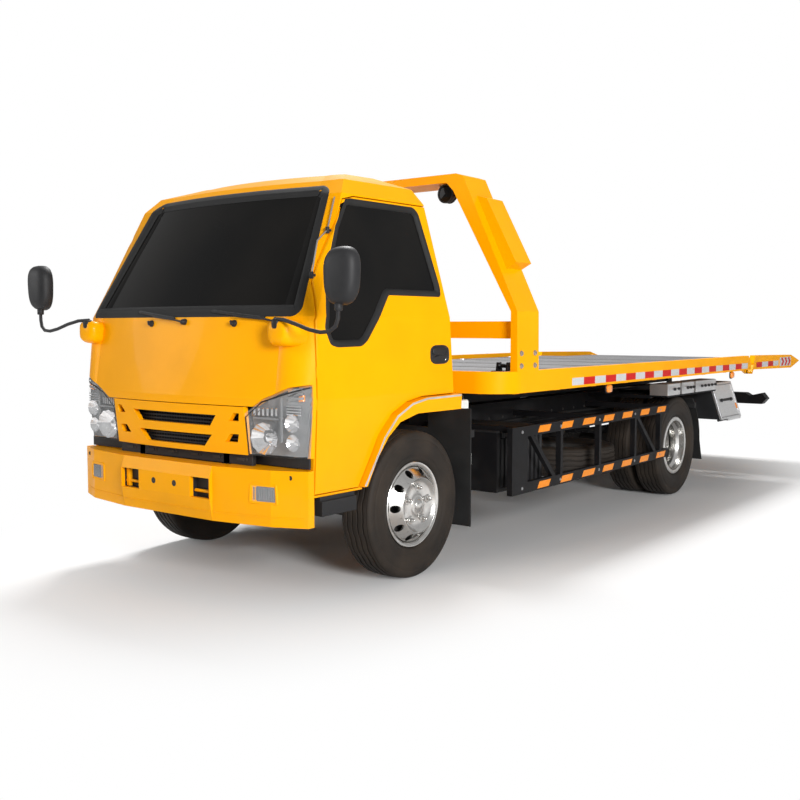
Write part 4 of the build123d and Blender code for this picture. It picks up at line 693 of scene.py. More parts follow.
# sections of the front wheel, as (along the axle from the wheel's middle, radius)
front_barrel = [(-82, 222), (-82, 203), (-60, 196), (-40, 188), (-10, 172), (20, 172), (44, 190), (60, 201),
                (68, 204), (68, 222), (72, 225), (79, 225), (82, 221), (81, 212), (76, 205), (66, 199),
                (50, 196), (48, 188), (10, 166), (-10, 166), (-44, 184), (-76, 196), (-82, 203)]
front_face_rim = [(56, 198), (70, 196)]
front_face_hub = [(118, 148), (121, 145.5), (121.5, 142), (119, 138), (108, 128), (105, 122), (104, 84),
                  (103, 62), (106, 52), (108, 50), (109, 36), (111, 31), (117, 28), (121, 22), (123, 12),
                  (123.5, 1)]
nut_pad = [(0, 23), (3, 21), (4, 17), (4, 1)]
brake_drum_sections = [[(40, 198), (44, 150), (20, 120), (14, 60)],
                       [(-60, 168), (-4, 168), (2, 160), (2, 20)]]


def front_wheel(side):
    """A polished wheel whose disc bulges outwards to five capped nuts round a small hub cap."""
    word = side_word[side]
    centre = spot(side * front_wheel_x, 0, hub_height)
    cone_inner, cone_outer, holes_circle = 151, 196, 173

    def cone(radius):
        return 70 + (cone_outer - radius) * 1.02

    work = Work()
    work.turned(front_barrel, centre, "X", 72, side=side)
    holed_cone(work, centre, side, cone_inner, cone_outer, holes_circle, 20, 10, cone)
    work.turned(front_face_rim, centre, "X", 80, side=side)
    work.turned([(cone(cone_inner), cone_inner)] + front_face_hub, centre, "X", 80, side=side)
    for place in ring_of(centre, side, 104, 92, 5, 0.2):
        work.turned(nut_pad, place, "X", 20, side=side)
        work.bolt(place + Vector((side * 4, 0, 0)) * mm, (side, 0, 0), 13, 1.1, dome=True)
    valve = centre + Vector((side * 96, 0, -160)) * mm
    work.tube([valve, valve + Vector((side * 26, 0, 6)) * mm], 3.2)
    drum = Work()
    for section in brake_drum_sections:
        drum.turned(section, centre, "X", 48, side=side)
    drum.done(f"front_brake_drum_{word}", cast_iron, f"front_wheel_{word}", "cast_steel", 40)
    piece = work.done(f"front_wheel_face_{word}", polished, f"front_wheel_{word}", "alloy", 36)
    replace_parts(piece, f"front_rim_{word}")


rear_hub_cap = [(14, 96), (20, 94), (22, 80), (60, 76), (74, 74), (77, 70), (78, 52), (84, 48), (88, 40),
                (90, 1)]
rear_rim_lip = [(196.5, 205), (200.5, 211), (200.8, 219), (198, 223.5), (194, 225), (186, 224)]


def rear_wheel_fittings(side):
    """Capped nuts, hub flange and cap in the dish of the outer rear wheel."""
    word = side_word[side]
    centre = spot(side * (outer_wheel_x + inner_wheel_x) / 2, rear_axle, hub_height)
    work = Work()
    work.turned(rear_hub_cap, centre, "X", 48, side=side)
    work.turned(rear_rim_lip, centre, "X", 72, side=side)
    for place in ring_of(centre, side, 14, 104, 5):
        work.bolt(place, (side, 0, 0), 16, 1.5, dome=True)
    for place in ring_of(centre, side, 78, 60, 10):
        work.bolt(place, (side, 0, 0), 5, 0.7)
    work.done(f"rear_hub_{word}", polished, f"rear_wheel_{word}", "alloy", 36)


for side in both_sides:
    word = side_word[side]
    tyre(f"front_tyre_ribbed_{word}", [spot(side * front_wheel_x, 0, hub_height)], "X",
         f"front_wheel_{word}", f"front_tyre_{word}")
    twins = [spot(side * x, rear_axle, hub_height) for x in (outer_wheel_x, inner_wheel_x)]
    tyre(f"rear_tyres_ribbed_{word}", twins, "X", f"rear_wheel_{word}", f"rear_tyres_{word}")
    front_wheel(side)
    rear_wheel_fittings(side)


# Cab: outlines as shares of its length, height and half width

cab_nose, cab_length, cab_base, cab_height, cab_half = -905, 1291, 520, 1575, 875
side_window_shares = [(0.205, 0.455), (0.178, 0.500), (0.210, 0.650), (0.345, 0.880), (0.385, 0.895),
                      (0.775, 0.895), (0.800, 0.880), (0.880, 0.640), (0.880, 0.610), (0.545, 0.610),
                      (0.400, 0.465), (0.370, 0.450), (0.240, 0.448)]
windscreen_shares = [(-0.850, 0.553), (0.850, 0.553), (0.730, 0.912), (0.680, 0.928), (-0.680, 0.928),
                     (-0.730, 0.912)]
rear_window_shares = [(-0.600, 0.640), (0.600, 0.640), (0.540, 0.872), (-0.540, 0.872)]
flare_line_shares = [(0.371, 0.012), (0.4285, 0.0865), (0.4785, 0.1565), (0.5525, 0.2185), (0.645, 0.2545),
                     (0.7385, 0.2675), (0.972, 0.2695)]
cab_skin = Surface("cab_shell", "cab_roof", "front_panel", "cab_glass", "grille")
door_skin = {side: Surface(f"door_{side_word[side]}", f"door_glass_{side_word[side]}") for side in both_sides}
out_front, out_back = Vector((0, -1, 0)), Vector((0, 1, 0))
out_side = {side: Vector((side, 0, 0)) for side in both_sides}


def side_points(shares):
    return [(cab_nose + along * cab_length, cab_base + up * cab_height) for along, up in shares]


def front_points(shares):
    return [(across * cab_half, cab_base + up * cab_height) for across, up in shares]


def seat_on(base, across, up, out, lift):
    """Put a point of an outline at the depth of a surface, lifted off it."""
    if abs(out.x) > 0.5:
        return Vector((base.x, across * mm + axle_y, up * mm)) + out * lift * mm
    return Vector((across * mm, base.y, up * mm)) + out * lift * mm


# widths above zero lie on the paint, those below it over the opening, and the last one on the glass
side_seal = ((9, 4, -6, -17, -24), (0.0, 3.5, 4.0, 4.5, 0.5))
windscreen_seal = ((30, 26, 16, 8, 1, -7, -18, -26), (0.4, 3.0, 3.0, 3.2, 3.6, 4.0, 4.5, 1.5))


def sealing(name, outline, hit, out, body, section=side_seal):
    """A rubber strip round a pane: from the paint beside the opening, over its edge and down to the glass."""
    widths, lifts = section
    points = spread(filleted(outline, 16), 30)
    rims = [outward(points, width) for width in widths]
    rows = []
    for index in range(len(points)):
        paint_place, glass_place = hit(*rims[0][index]), hit(*rims[-1][index])
        if paint_place is None or glass_place is None:
            continue
        row = []
        last_width = widths[0]
        for rim, width, lift in zip(rims, widths, lifts):
            across, up = rim[index]
            base = paint_place
            slope_reach = ((last_width - width) * 1.1 + 3) * mm
            last_width = width
            if width > 0:
                own_place = hit(across, up)
                if own_place and abs((own_place - paint_place).dot(out)) < slope_reach:
                    paint_place = base = own_place
            elif rim is rims[-1]:
                base = glass_place
            elif rim is rims[-2]:
                base = paint_place.lerp(glass_place, 0.35)
            row.append(seat_on(base, across, up, out, lift))
        rows.append(row)
    work = Work()
    work.grid(rows, along=True)
    work.done(name, rubber, body, "rubber_black", 60)


sealing("windscreen_rubber", front_points(windscreen_shares), cab_skin.front, out_front, "cab",
        windscreen_seal)
sealing("rear_window_rubber", front_points(rear_window_shares), lambda x, z: cab_skin.back(x, z, 1200),
        out_back, "cab")
for side in both_sides:
    sealing(f"side_window_rubber_{side_word[side]}", side_points(side_window_shares),
            lambda y, z: door_skin[side].side(y, z, side), out_side[side], f"door_{side_word[side]}")


def strip_on(work, points, hit, out, width, lift):
    """A narrow raised strip that follows an open line over a surface."""
    points = spread(points, 25, closed=False)
    rows = []
    for index, (across, up) in enumerate(points):
        before, after = points[max(index - 1, 0)], points[min(index + 1, len(points) - 1)]
        run = (after[0] - before[0], after[1] - before[1])
        length = math.hypot(*run)
        normal = (-run[1] / length, run[0] / length)
        row = []
        for shift, rise in ((-0.5, 0.0), (-0.38, 1.0), (0.38, 1.0), (0.5, 0.0)):
            place = (across + normal[0] * width * shift, up + normal[1] * width * shift)
            base = hit(*place) or hit(across, up)
            if base is None:
                break
            row.append(seat_on(base, *place, out, lift * rise + 0.2))
        if len(row) == 4:
            rows.append(row)
    if len(rows) > 1:
        work.grid(rows)


def raised_patch(work, outline, hit, out, steps):
    """Skin an outline over a surface in (inset, lift) steps and close its top."""
    middle = hit(sum(p[0] for p in outline) / len(outline), sum(p[1] for p in outline) / len(outline))
    work.capped([[seat_on(hit(*place) or middle, *place, out, lift) for place in outward(outline, -inset)]
                 for inset, lift in steps])


def door_handle(side):
    """A dark recessed grip plate with a flap over a hollow and a key barrel behind it."""
    word, skin, out = side_word[side], door_skin[side], out_side[side]
    front, rear, foot, top = 118, 282, 1116, 1218
    base = skin.side((front + rear) / 2, (foot + top) / 2, side)
    plate = rounded_corners(box_points(front, rear, foot, top), 0.2, 3)
    hinge, lip = 1163, top - 11
    flap_corners = [(front + 14, hinge), (rear - 14, hinge), (rear - 16, lip), (front + 16, lip)]
    flap = rounded_corners(flap_corners, 0.18)
    work = Work()
    raised_patch(work, plate, lambda y, z: skin.side(y, z, side), out,
                 ((0, 0.0), (1, 3.5), (5, 4.5), (9, 2.4), (14, 1.2), (30, 1.0)))
    raised_patch(work, flap, lambda y, z: base, out, ((0, 0.5), (0.5, 4.0), (4, 7.5), (14, 8.5), (30, 8.0)))
    work.done(f"door_handle_{word}", black_plastic, f"door_{word}", "trim_plastic")
    key = Work()
    key_place = seat_on(base, rear - 26, foot + 22, out, -1.0)
    key.turned([(0, 11), (3, 10.5), (4.5, 9), (4.5, 3), (3, 1)], key_place, "X", 20, side=side)
    key.done(f"key_barrel_{word}", chrome, f"door_{word}", "bright_steel")


for side in both_sides:
    door_handle(side)

# the pale edge strip round the wheel arches
flare_skin = Surface("arch_flares")
for side in both_sides:
    trim = Work()
    strip_on(trim, side_points(flare_line_shares), lambda y, z: flare_skin.side(y, z, side), out_side[side],
             11, 2.5)
    trim.done(f"arch_edge_strip_{side_word[side]}", grey_trim, "cab", "trim_plastic", 50)


def spare_wheel():
    """The ribbed spare lying under the frame, with its disc, its nuts and the hanger that holds it up."""
    low, high = solid_box("spare_wheel")
    x, y = (low.x + high.x) / 2, (low.y + high.y) / 2
    centre = spot(x, y, low.z + tyre_width / 2)
    tyre("spare_tyre_ribbed", [centre], "Z", "chassis", "spare_wheel")
    disc = Work()
    disc.turned([(-68, 203), (-60, 200), (-20, 194), (-30, 150), (-44, 120), (-40, 84), (-26, 70), (-26, 1)],
                centre, "Z", 64)
    disc.turned([(68, 203), (60, 200), (20, 196), (-10, 192)], centre, "Z", 64)
    rail_side, hanger_half, hanger_depth = 351, 30, 60
    disc.tube([centre + Vector((0, 0, -26)) * mm, spot(x, y, high.z - hanger_half)], 16)
    hanger = box_points(rail_side, x + hanger_half, y - hanger_half, y + hanger_half)
    disc.slab(on_top(hanger, high.z - hanger_depth), (0, 0, hanger_depth), 3)
    for turn in range(6):
        angle = math.pi * turn / 3
        disc.bolt(centre + Vector((100 * math.cos(angle), 100 * math.sin(angle), -42)) * mm, (0, 0, -1), 10)
    disc.done("spare_wheel_disc", cast_iron, "chassis", "cast_steel", 40)


spare_wheel()


# Front of the cab

def box_outline(low, high, foot, top, share):
    """A box outline with cut corners."""
    return rounded_corners(box_points(low, high, foot, top), share)


def wiper(name, pivot, tip, tip_rise):
    """A pivot cap, an arm and a rubber blade lying along the foot of the windscreen."""
    x, z = pivot
    blade_start = x - 70
    post = cab_skin.front(x, z)
    work = Work()
    work.turned([(6, 16), (-10, 15), (-22, 12), (-26, 8), (-27, 1)], post, "Y", 20)
    elbow = post + Vector((-60, -24, 12)) * mm
    middle = cab_skin.front((x + tip) / 2, z + tip_rise * 0.5) + Vector((0, -22, 6)) * mm
    work.tube([post + Vector((0, -16, 0)) * mm, elbow, middle], 5)
    rows = []
    for step in range(15):
        share = step / 14
        base = cab_skin.front(blade_start + (tip - blade_start) * share, z + 16 + tip_rise * share)
        rows.append([base + Vector((0, rise, lift)) * mm
                     for rise, lift in ((-3, -8), (-14, -6), (-17, 0), (-14, 6), (-3, 8), (-2, 0))])
    work.capped(rows, both=True)
    work.done(name, black_plastic, "cab", "rubber_black")


wiper("wiper_driver", (655, 1338), 170, 44)
wiper("wiper_passenger", (69, 1338), -385, 44)
for number, x in enumerate((-188, 402)):
    nozzle = Work()
    foot = cab_skin.front(x, 1330)
    nozzle.turned([(2, 17), (-8, 16), (-12, 12), (-14, 9), (-20, 9), (-24, 6), (-25, 1)], foot, "Y", 20)
    nozzle.tube([foot + Vector((0, -18, 2)) * mm, foot + Vector((0, -26, 12)) * mm], 6)
    nozzle.done(f"washer_nozzle_{number}", black_plastic, "cab", "trim_plastic")

# the mirrors' corner blocks as (along, inner, outer, foot, top), their arms' routes and posts
mirror_block = [(-770, 660, 812, 1222, 1338), (-822, 652, 800, 1224, 1344), (-856, 652, 782, 1228, 1346),
                (-878, 662, 770, 1240, 1340), (-884, 678, 756, 1252, 1328)]
mirror_arm_route = [(700, -866, 1350), (770, -884, 1346), (850, -896, 1328), (940, -901, 1302),
                    (1010, -902, 1290), (1062, -901, 1294), (1094, -898, 1316), (1106, -896, 1350),
                    (1110, -895, 1440)]
mirror_post = (712, -866, 1336)
mirror_joint = (1108, -895, 1398)


def mirror_rows(side, steps, taper_share=1.0):
    """Outlines of a mirror head at (along, inset) steps; the taper draws its sides in."""
    rows = []
    for y, inset in steps:
        taper = inset * taper_share
        shape = [(1034 + taper, 1402 + inset), (1200 - taper, 1412 + inset), (1214 - taper, 1660 - inset),
                 (1024 + taper, 1654 - inset)]
        rows.append(on_front(rounded_corners(shape, 0.22, 3), y, side))
    return rows


def mirror_set(side):
    """A body-coloured corner block, a bent tube arm and a rounded mirror head with its glass."""
    word = side_word[side]
    block = Work()
    block.capped([on_front(box_outline(*box, 0.2), y, side) for y, *box in mirror_block], both=True)
    block.done(f"mirror_corner_block_{word}", yellow_paint, "cab", "body_paint", 50)
    arm = Work()
    post_x, post_y, post_z = mirror_post
    post = spot(side * post_x, post_y, post_z)
    arm.turned([(-30, 20), (-24, 24), (0, 26), (12, 22), (16, 14), (16, 1)], post, "Z", 24)
    arm.turned([(-30, 20), (-30, 1)], post, "Z", 24)
    arm.tube([spot(side * x, y, z) for x, y, z in mirror_arm_route], 9)
    joint_x, joint_y, joint_z = mirror_joint
    arm.turned([(-16, 15), (-12, 18), (14, 18), (18, 14)], spot(side * joint_x, joint_y, joint_z), "Z", 20)
    arm.done(f"mirror_arm_{word}", black_plastic, "cab", "trim_plastic", 50)
    head = Work()
    head.capped(mirror_rows(side, ((-857, 10), (-860, 4), (-868, 0), (-884, 0), (-902, 4), (-916, 14),
                                   (-926, 32), (-931, 60)), 0.9))
    head.capped(mirror_rows(side, ((-857, 10), (-863, 13), (-865, 30))))
    shell = head.done(f"mirror_head_{word}", black_plastic, "cab", "trim_plastic", 60)
    glass = Work()
    glass.capped(mirror_rows(side, ((-864, 14), (-861, 15), (-860, 30))))
    glass.done(f"mirror_glass_{word}", chrome, "cab", "bright_steel", 60)
    return shell


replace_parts(mirror_set(1), "mirrors")
mirror_set(-1)

# headlamps: clear covers over a large bowl, short ribs, and two small bowls in an outer column
lamp_skin = Surface("headlamps")
lamp_columns = [497, 520, 560, 600, 640, 680, 694, 720, 760, 800, 812, 834]
lamp_rim = [(499, 708), (499, 934), (600, 964), (700, 994), (770, 1016), (833, 1036)]
lamp_foot = [(x, 709) for x in (499, 600, 700, 809)]
# middle, radius across, radius upwards and depth of each bowl
lamp_bowls = [((592, -826, 790), 80, 68, 50), ((752, -808, 868), 42, 38, 34), ((750, -802, 776), 38, 36, 30)]


def lamp_bowl(work, side, centre, radius, height, depth):
    """A bright bowl opening forwards, with flutes round its wall and a bulb cap in its middle."""
    x, y, z = centre
    rows = []
    for turn in range(48):
        angle = 2 * math.pi * turn / 48
        flute = 1.0 if turn % 4 < 2 else 0.96
        across, up = radius * flute * math.cos(angle), height * flute * math.sin(angle)
        rows.append([spot(side * (x + across * share), y + depth * (1 - share ** 1.6), z + up * share)
                     for share in (1.12, 1.0, 0.85, 0.68, 0.5, 0.34)])
    work.grid(rows, along=True)
    work.turned([(depth * 0.86, radius * 0.36), (depth * 0.45, radius * 0.3), (depth * 0.34, radius * 0.2),
                 (depth * 0.32, 1)], spot(side * x, y, z), "Y", 24)


def lamp_backing(side):
    """A fluted grey wall a little behind the lamp's face."""
    rows = []
    for x in lamp_columns:
        foot = 708 if x < 815 else 880
        top = 938 + (x - 500) * 0.31
        row = []
        for step in range(9):
            z = foot + (top - foot) * step / 8
            face = lamp_skin.front(side * x, z)
            y = (face.y - axle_y) / mm if face else -760 - (830 - x) * 0.28
            flute = 5 if step % 2 else 0
            row.append(spot(side * x, min(y + 46, -772) + flute, z))
        rows.append(row)
    work = Work()
    work.grid(rows)
    work.done(f"headlamp_backing_{side_word[side]}", lamp_grey, "cab", "clear_lens", 25)


def headlamp(side):
    """The insides of one lamp and the rubber round its cover."""
    word = side_word[side]
    lamp_backing(side)
    bright = Work()
    for bowl in lamp_bowls:
        lamp_bowl(bright, side, *bowl)
    for x in range(528, 668, 24):
        bright.slab(on_front(box_points(x, x + 13, 896, 934), -832 + (x - 528) * 0.2, side), (0, -10, 0), 3)
    for z in (968, 990, 1010):
        slanted = [(712, z), (806, z + 12), (806, z + 24), (712, z + 12)]
        bright.slab(on_front(slanted, -790, side), (0, -12, 0), 5)
    for z in (905, 918, 931, 944):
        bright.slab(on_front(box_points(704, 800, z, z + 6), -796, side), (0, -10, 0), 2)
    bright.done(f"headlamp_bowls_{word}", chrome, "cab", "bright_steel", 30)
    gasket = Work()
    for line in (lamp_rim, lamp_foot):
        strip_on(gasket, [(side * x, z) for x, z in line], lamp_skin.front, out_front, 7, 1.2)
    gasket.done(f"headlamp_gasket_{word}", rubber, "cab", "rubber_black", 60)
    dark = Work()
    dark.slab(on_front([(684, 775), (694, 780), (694, 985), (684, 982)], -815, side), (0, -9, 0))
    dark.slab(on_front(box_points(512, 678, 880, 889), -790, side), (0, -40, 0))
    dark.done(f"headlamp_dividers_{word}", lamp_grey, "cab", "trim_plastic")
    bulb = Work()
    bulb.slab(on_front([(776, 966), (806, 972), (806, 1000), (776, 994)], -782, side), (0, -14, 0), 4)
    bulb.done(f"turn_bulb_{word}", amber, "cab", "amber_lens")


def headlamp_covers():
    """The solid lamps' own shape as clear covers."""
    mesh = nodes["headlamps"].data.copy()
    mesh.materials.clear()
    cover = added("headlamp_covers", mesh, lamp_cover)
    rounded(cover, 4)
    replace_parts(carried(cover, "cab"), "headlamps")


headlamp_covers()
for side in both_sides:
    headlamp(side)


def grille_slats():
    """Dark slats and thin uprights behind the grille's slots, before a closed back."""
    half, foot, top = 470, 712, 930
    slat_pitch, slat_height, upright_pitch = 18, 8, 20
    work = Work()
    for z in range(foot + 4, top + 2, slat_pitch):
        work.slab(on_front(box_points(-half, half, z, z + slat_height), -818), (0, -14, 0), 2)
    for x in range(10 - half, half - 9, upright_pitch):
        work.slab(on_front(box_points(x - 2, x + 2, foot, top), -812), (0, -14, 0))
    work.slab(on_front(box_points(-half - 10, half + 10, foot - 6, top + 4), -806), (0, -6, 0))
    work.done("grille_slats", black_plastic, "cab", "trim_plastic")


def bumper_gap():
    """A dark strip over the bumper, with clips along it."""
    strip = Work()
    strip.slab(on_front(box_points(-500, 500, 652, 704), -800), (0, -22, 0), 3)
    strip.slab(on_front(box_points(-820, 820, 655, 703), -762), (0, -8, 0), 2)
    strip.done("bumper_gap_strip", black_plastic, "cab", "trim_plastic")
    clips = Work()
    for x in (-420, -250, -90, 90, 250, 420):
        clips.slab(on_front(box_points(x - 26, x + 26, 672, 686), -822), (0, -5, 0), 2)
        clips.bolt(spot(x + 40, -822, 679), (0, -1, 0), 7)
    clips.done("bumper_gap_clips", cast_iron, "cab", "cast_steel")


def fog_face(x, z):
    """The slanted face of the bumper at a fog lamp."""
    return spot(x, -896 + (abs(x) - 535) * 0.215, z)


def fog_lamps():
    """Painted bezels with ribbed reflectors behind clear covers."""
    bezels, covers, reflectors = Work(), Work(), Work()
    for side in both_sides:
        bezel = filleted([(side * 548, 486), (side * 706, 486), (side * 700, 588), (side * 552, 588)], 14, 4)
        lens = filleted([(side * 566, 500), (side * 692, 500), (side * 688, 574), (side * 568, 574)], 10, 4)
        bezels.grid([[seat_on(fog_face(*place), *place, out_front, lift) for place in outward(bezel, -inset)]
                     for inset, lift in ((0, 0.5), (2, 6), (5, 7.5), (9, 6.5), (15, 2.0))], around=True)
        raised_patch(covers, lens, fog_face, out_front, ((-2, 1.0), (0, 5.0), (3, 6.0)))
        raised_patch(reflectors, lens, fog_face, out_front, ((-2, 0.6), (0, 1.4)))
        for step in range(9):
            x = side * (574 + step * 13)
            rib = [fog_face(a, b) + out_front * mm for a, b in box_points(x, x + side * 7, 506, 568)]
            reflectors.slab(rib, out_front * 3.4, 1.2)
    bezels.done("fog_lamp_bezels", yellow_paint, "chassis", "body_paint", 50)
    covers.done("fog_lamp_covers", lamp_cover, "chassis", "clear_lens")
    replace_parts(reflectors.done("fog_lamp_reflectors", lamp_grey, "chassis", "bright_steel"), "fog_lamps")


def bumper_holes():
    """Dark linings and a painted bracket in the tow holes, round plugs, and the crease along the foot."""
    linings, brackets, plugs, crease = Work(), Work(), Work(), Work()
    for side in both_sides:
        linings.slab(on_front(box_points(192, 338, 487, 593), -904, side), (0, 4, 0))
        for wall in ((190, 196, 487, 593), (334, 340, 487, 593), (196, 334, 486, 491), (196, 334, 589, 594)):
            linings.slab(on_front(box_points(*wall), -904, side), (0, -24, 0))
    linings.done("bumper_hole_linings", black_plastic, "chassis", "trim_plastic", 50)
    for side in both_sides:
        brackets.tube([spot(side * 200, -916, 520), spot(side * 330, -916, 520)], 8)
        brackets.slab(on_front(box_points(302, 322, 492, 588), -906, side), (0, -20, 0), 2)
    brackets.done("tow_brackets", yellow_paint, "chassis", "body_paint", 50)
    skin = Surface("bumper")
    for x, z, radius, lift in ((78, 545, 16, 0.05), (760, 618, 11, 2.0)):
        for side in reversed(both_sides):
            face = skin.front(side * x, z) + out_front * lift * mm
            plugs.turned([(1.0, radius), (0.0, radius - 0.6), (0.0, radius * 0.5), (0.0, 1)], face, "Y", 24)
    plugs.done("bumper_hole_plugs", black_plastic, "chassis", "trim_plastic")
    strip_on(crease, [(x, 430) for x in range(-820, 821, 40)], skin.front, out_front, 7, 2.0)
    crease.done("bumper_crease", yellow_paint, "chassis", "body_paint", 50)


def aerial():
    """A thin rod held off the left pillar by two feet."""
    rod, feet = Work(), Work()
    route = []
    for step in range(8):
        share = step / 7
        x, z = 786 - 66 * share, 1552 + 385 * share
        base = cab_skin.front(x, z, spot(x, -700 + 170 * share, z))
        route.append(base + Vector((4, -16, 0)) * mm)
    rod.tube(route, 3.6)
    rod.done("aerial_rod", bare_steel, "cab", "bright_steel", 60)
    for place in (route[0], route[4]):
        feet.turned([(-16, 8), (-14, 10), (14, 10), (16, 8)], place, "Z", 16)
        feet.tube([place + Vector((0, 22, 0)) * mm, place], 7)
    feet.done("aerial_feet", black_plastic, "cab", "trim_plastic", 50)


grille_slats()
bumper_gap()
fog_lamps()
bumper_holes()
aerial()


# Bed: reflective tape, markers, headboard fittings, winch rope and tail

tape_foot, tape_top = 958, 1004
tape_start, tape_length, tape_count = 1295, 152.4, 21
tail_tape = (4724, 4877, 5046, 5194, 5351)


def side_patch(work, side, start, end, foot, top, face=rail_face, thickness=0.8, lean=0.0):
    """A thin upright patch on a side face; lean shifts its top edge rearwards."""
    outline = [(start, foot), (end, foot), (end + lean, top), (start + lean, top)]
    work.slab(on_side(outline, side * face), (side * thickness, 0, 0), 0.3)


def bed_tape():
    """Red and white squares by turns along both rails."""
    red_tape, white_tape = Work(), Work()
    for side in both_sides:
        for index in range(tape_count):
            start = tape_start + index * tape_length
            tape = red_tape if index % 2 else white_tape
            side_patch(tape, side, start, start + tape_length, tape_foot, tape_top)
    red_tape.done("side_tape_red", red_sheet, "bed", "red_lens")
    white_tape.done("side_tape_white", white_sheet, "bed", "white_plastic")


def tail_marks():
    """The tail's tape, and red arrows on a white field at its end."""
    red_tape, white_tape, arrows = Work(), Work(), Work()
    field_foot, arrow_foot, arrow_middle, arrow_top, field_top = 948, 952, 989, 1026, 1030
    arrow_width, arrow_lean = 50, 44
    for side in both_sides:
        for index, (start, end) in enumerate(zip(tail_tape, tail_tape[1:])):
            side_patch(white_tape if index % 2 else red_tape, side, start, end, tape_foot, tape_top)
        side_patch(white_tape, side, 5392, 5731, field_foot, field_top)
        for start in (5430, 5530, 5630):
            for edge in (arrow_foot, arrow_top):
                side_patch(arrows, side, start, start + arrow_width, edge, arrow_middle, rail_face + 0.8, 0.6,
                           arrow_lean)
    red_tape.done("tail_tape_red", red_sheet, "tail", "red_lens")
    white_tape.done("tail_tape_white", white_sheet, "tail", "white_plastic")
    arrows.done("tail_chevrons", red_sheet, "tail", "red_lens")


def marker_lamps():
    """Amber lamps under the rails, on black bases."""
    lenses, bases = Work(), Work()
    back, base_depth, lens_depth, height = 1046, 8, 14, 912
    for side in both_sides:
        for y in (1854, 4180):
            base = box_outline(y - 38, y + 38, height - 31, height + 31, 0.2)
            lens = box_outline(y - 33, y + 33, height - 26, height + 26, 0.2)
            bases.slab(on_side(base, side * back), (side * base_depth, 0, 0), 2)
            lenses.slab(on_side(lens, side * (back + base_depth)), (side * lens_depth, 0, 0), 6)
    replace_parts(lenses.done("side_marker_lenses", amber, "bed", "amber_lens", 50), "bed_lamps")
    bases.done("side_marker_bases", black_plastic, "bed", "trim_plastic", 50)


def work_lamps():
    """Two black lamps under the headboard's top bar, each with cooling ribs and a bent bracket."""
    housings, glasses = Work(), Work()
    for side in both_sides:
        centre = spot(side * 560, 725, 2087)
        housings.turned([(38, 30), (34, 40), (10, 50), (-18, 54), (-34, 55), (-38, 53), (-38, 49), (-30, 47)],
                        centre, "Y", 40)
        housings.turned([(38, 30), (38, 1)], centre, "Y", 40)
        for rib in range(5):
            near, inner, outer = 12 + rib * 5, 46 - rib * 3.2, 53 - rib * 3
            section = [(near, inner), (near, outer), (near + 2, outer), (near + 2, inner)]
            housings.turned(section, centre, "Y", 40, closed=True)
        bracket = ((58, -20), (58, 66), (-58, 66), (-58, -20))
        housings.tube([centre + Vector((side * x, 0, z)) * mm for x, z in bracket], 5)
        glasses.turned([(-31, 48), (-33, 30), (-34, 1)], centre, "Y", 40)
        glasses.turned([(-20, 46), (0, 34), (10, 20), (14, 1)], centre, "Y", 32)
    housings.done("work_lamp_housings", black_plastic, "bed", "trim_plastic", 50)
    # the lenses take the opaque near-black glass: painted shade of the lamp's inside
    glasses.done("work_lamp_glasses", dark_glass, "bed", "clear_lens", 50)


def headboard_bolts():
    """Bolts of the headboard's feet, and flat rivets along the rails."""
    work = Work()
    face = solid_box("headboard")[1].x
    rail_middle = rail_face - 23
    for side in both_sides:
        for y in (690, 840):
            for rise in (30, 100):
                work.bolt(spot(side * face, y, rail_top + rise), (side, 0, 0), 13, 0.7)
        for y in (730, 770, 810):
            work.bolt(spot(side * rail_middle, y, rail_top), (0, 0, 1), 9, 0.6)
        for y in range(1300, 4500, 400):
            work.turned([(0.5, 7), (2, 6), (2.2, 1)], spot(side * rail_middle, y, rail_top), "Z", 12)
    work.done("headboard_bolts", bare_steel, "bed", "bright_steel")


def winch_rope():
    """The outer layer of the wound rope, as rounded turns across the drum."""
    low, high = solid_box("winch")
    half, pitch, radius = 96, 6, 66
    profile = []
    for across in range(-half, half + 1, pitch):
        profile += [(across, radius), (across + 1.6, radius + 2.6), (across + 3, radius + 3.6),
                    (across + 4.4, radius + 2.6)]
    profile.append((half + pitch, radius))
    work = Work()
    work.turned(profile, spot(0, (low.y + high.y) / 2, (low.z + high.z) / 2), "X", 40)
    work.done("winch_rope_layers", bare_steel, "bed", "bright_steel", 60)


def winch_fittings():
    """The winch's foot plates and bolts, and two guide rollers behind it."""
    plate, roller_half, roller_y, cheek = 8, 110, 1130, 12
    work = Work()
    for side in both_sides:
        for y, z in ((955, 1060), (1065, 1060), (955, 1176), (1065, 1176), (1010, 1200)):
            work.bolt(spot(side * 222, y, z), (side, 0, 0), 7, 0.7)
        work.slab(on_top(box_points(190, 236, 900, 1118), deck_top, side), (0, 0, plate), 2)
        for y in (914, 1104):
            work.bolt(spot(side * 213, y, deck_top + plate), (0, 0, 1), 8, 0.7)
    for height, radius in ((1080, 16), (1046, 12)):
        work.tube([spot(-roller_half, roller_y, height), spot(roller_half, roller_y, height)], radius)
    for x in (-roller_half - cheek, roller_half + cheek):
        outline = [(roller_y - 26, deck_top), (roller_y + 26, deck_top), (roller_y + 22, 1100),
                   (roller_y - 18, 1100)]
        work.slab(on_side(outline, x - cheek / 2 - 1), (cheek + 2, 0, 0), 2)
    work.done("winch_bolts_and_roller", frame_paint, "bed", "frame_paint")


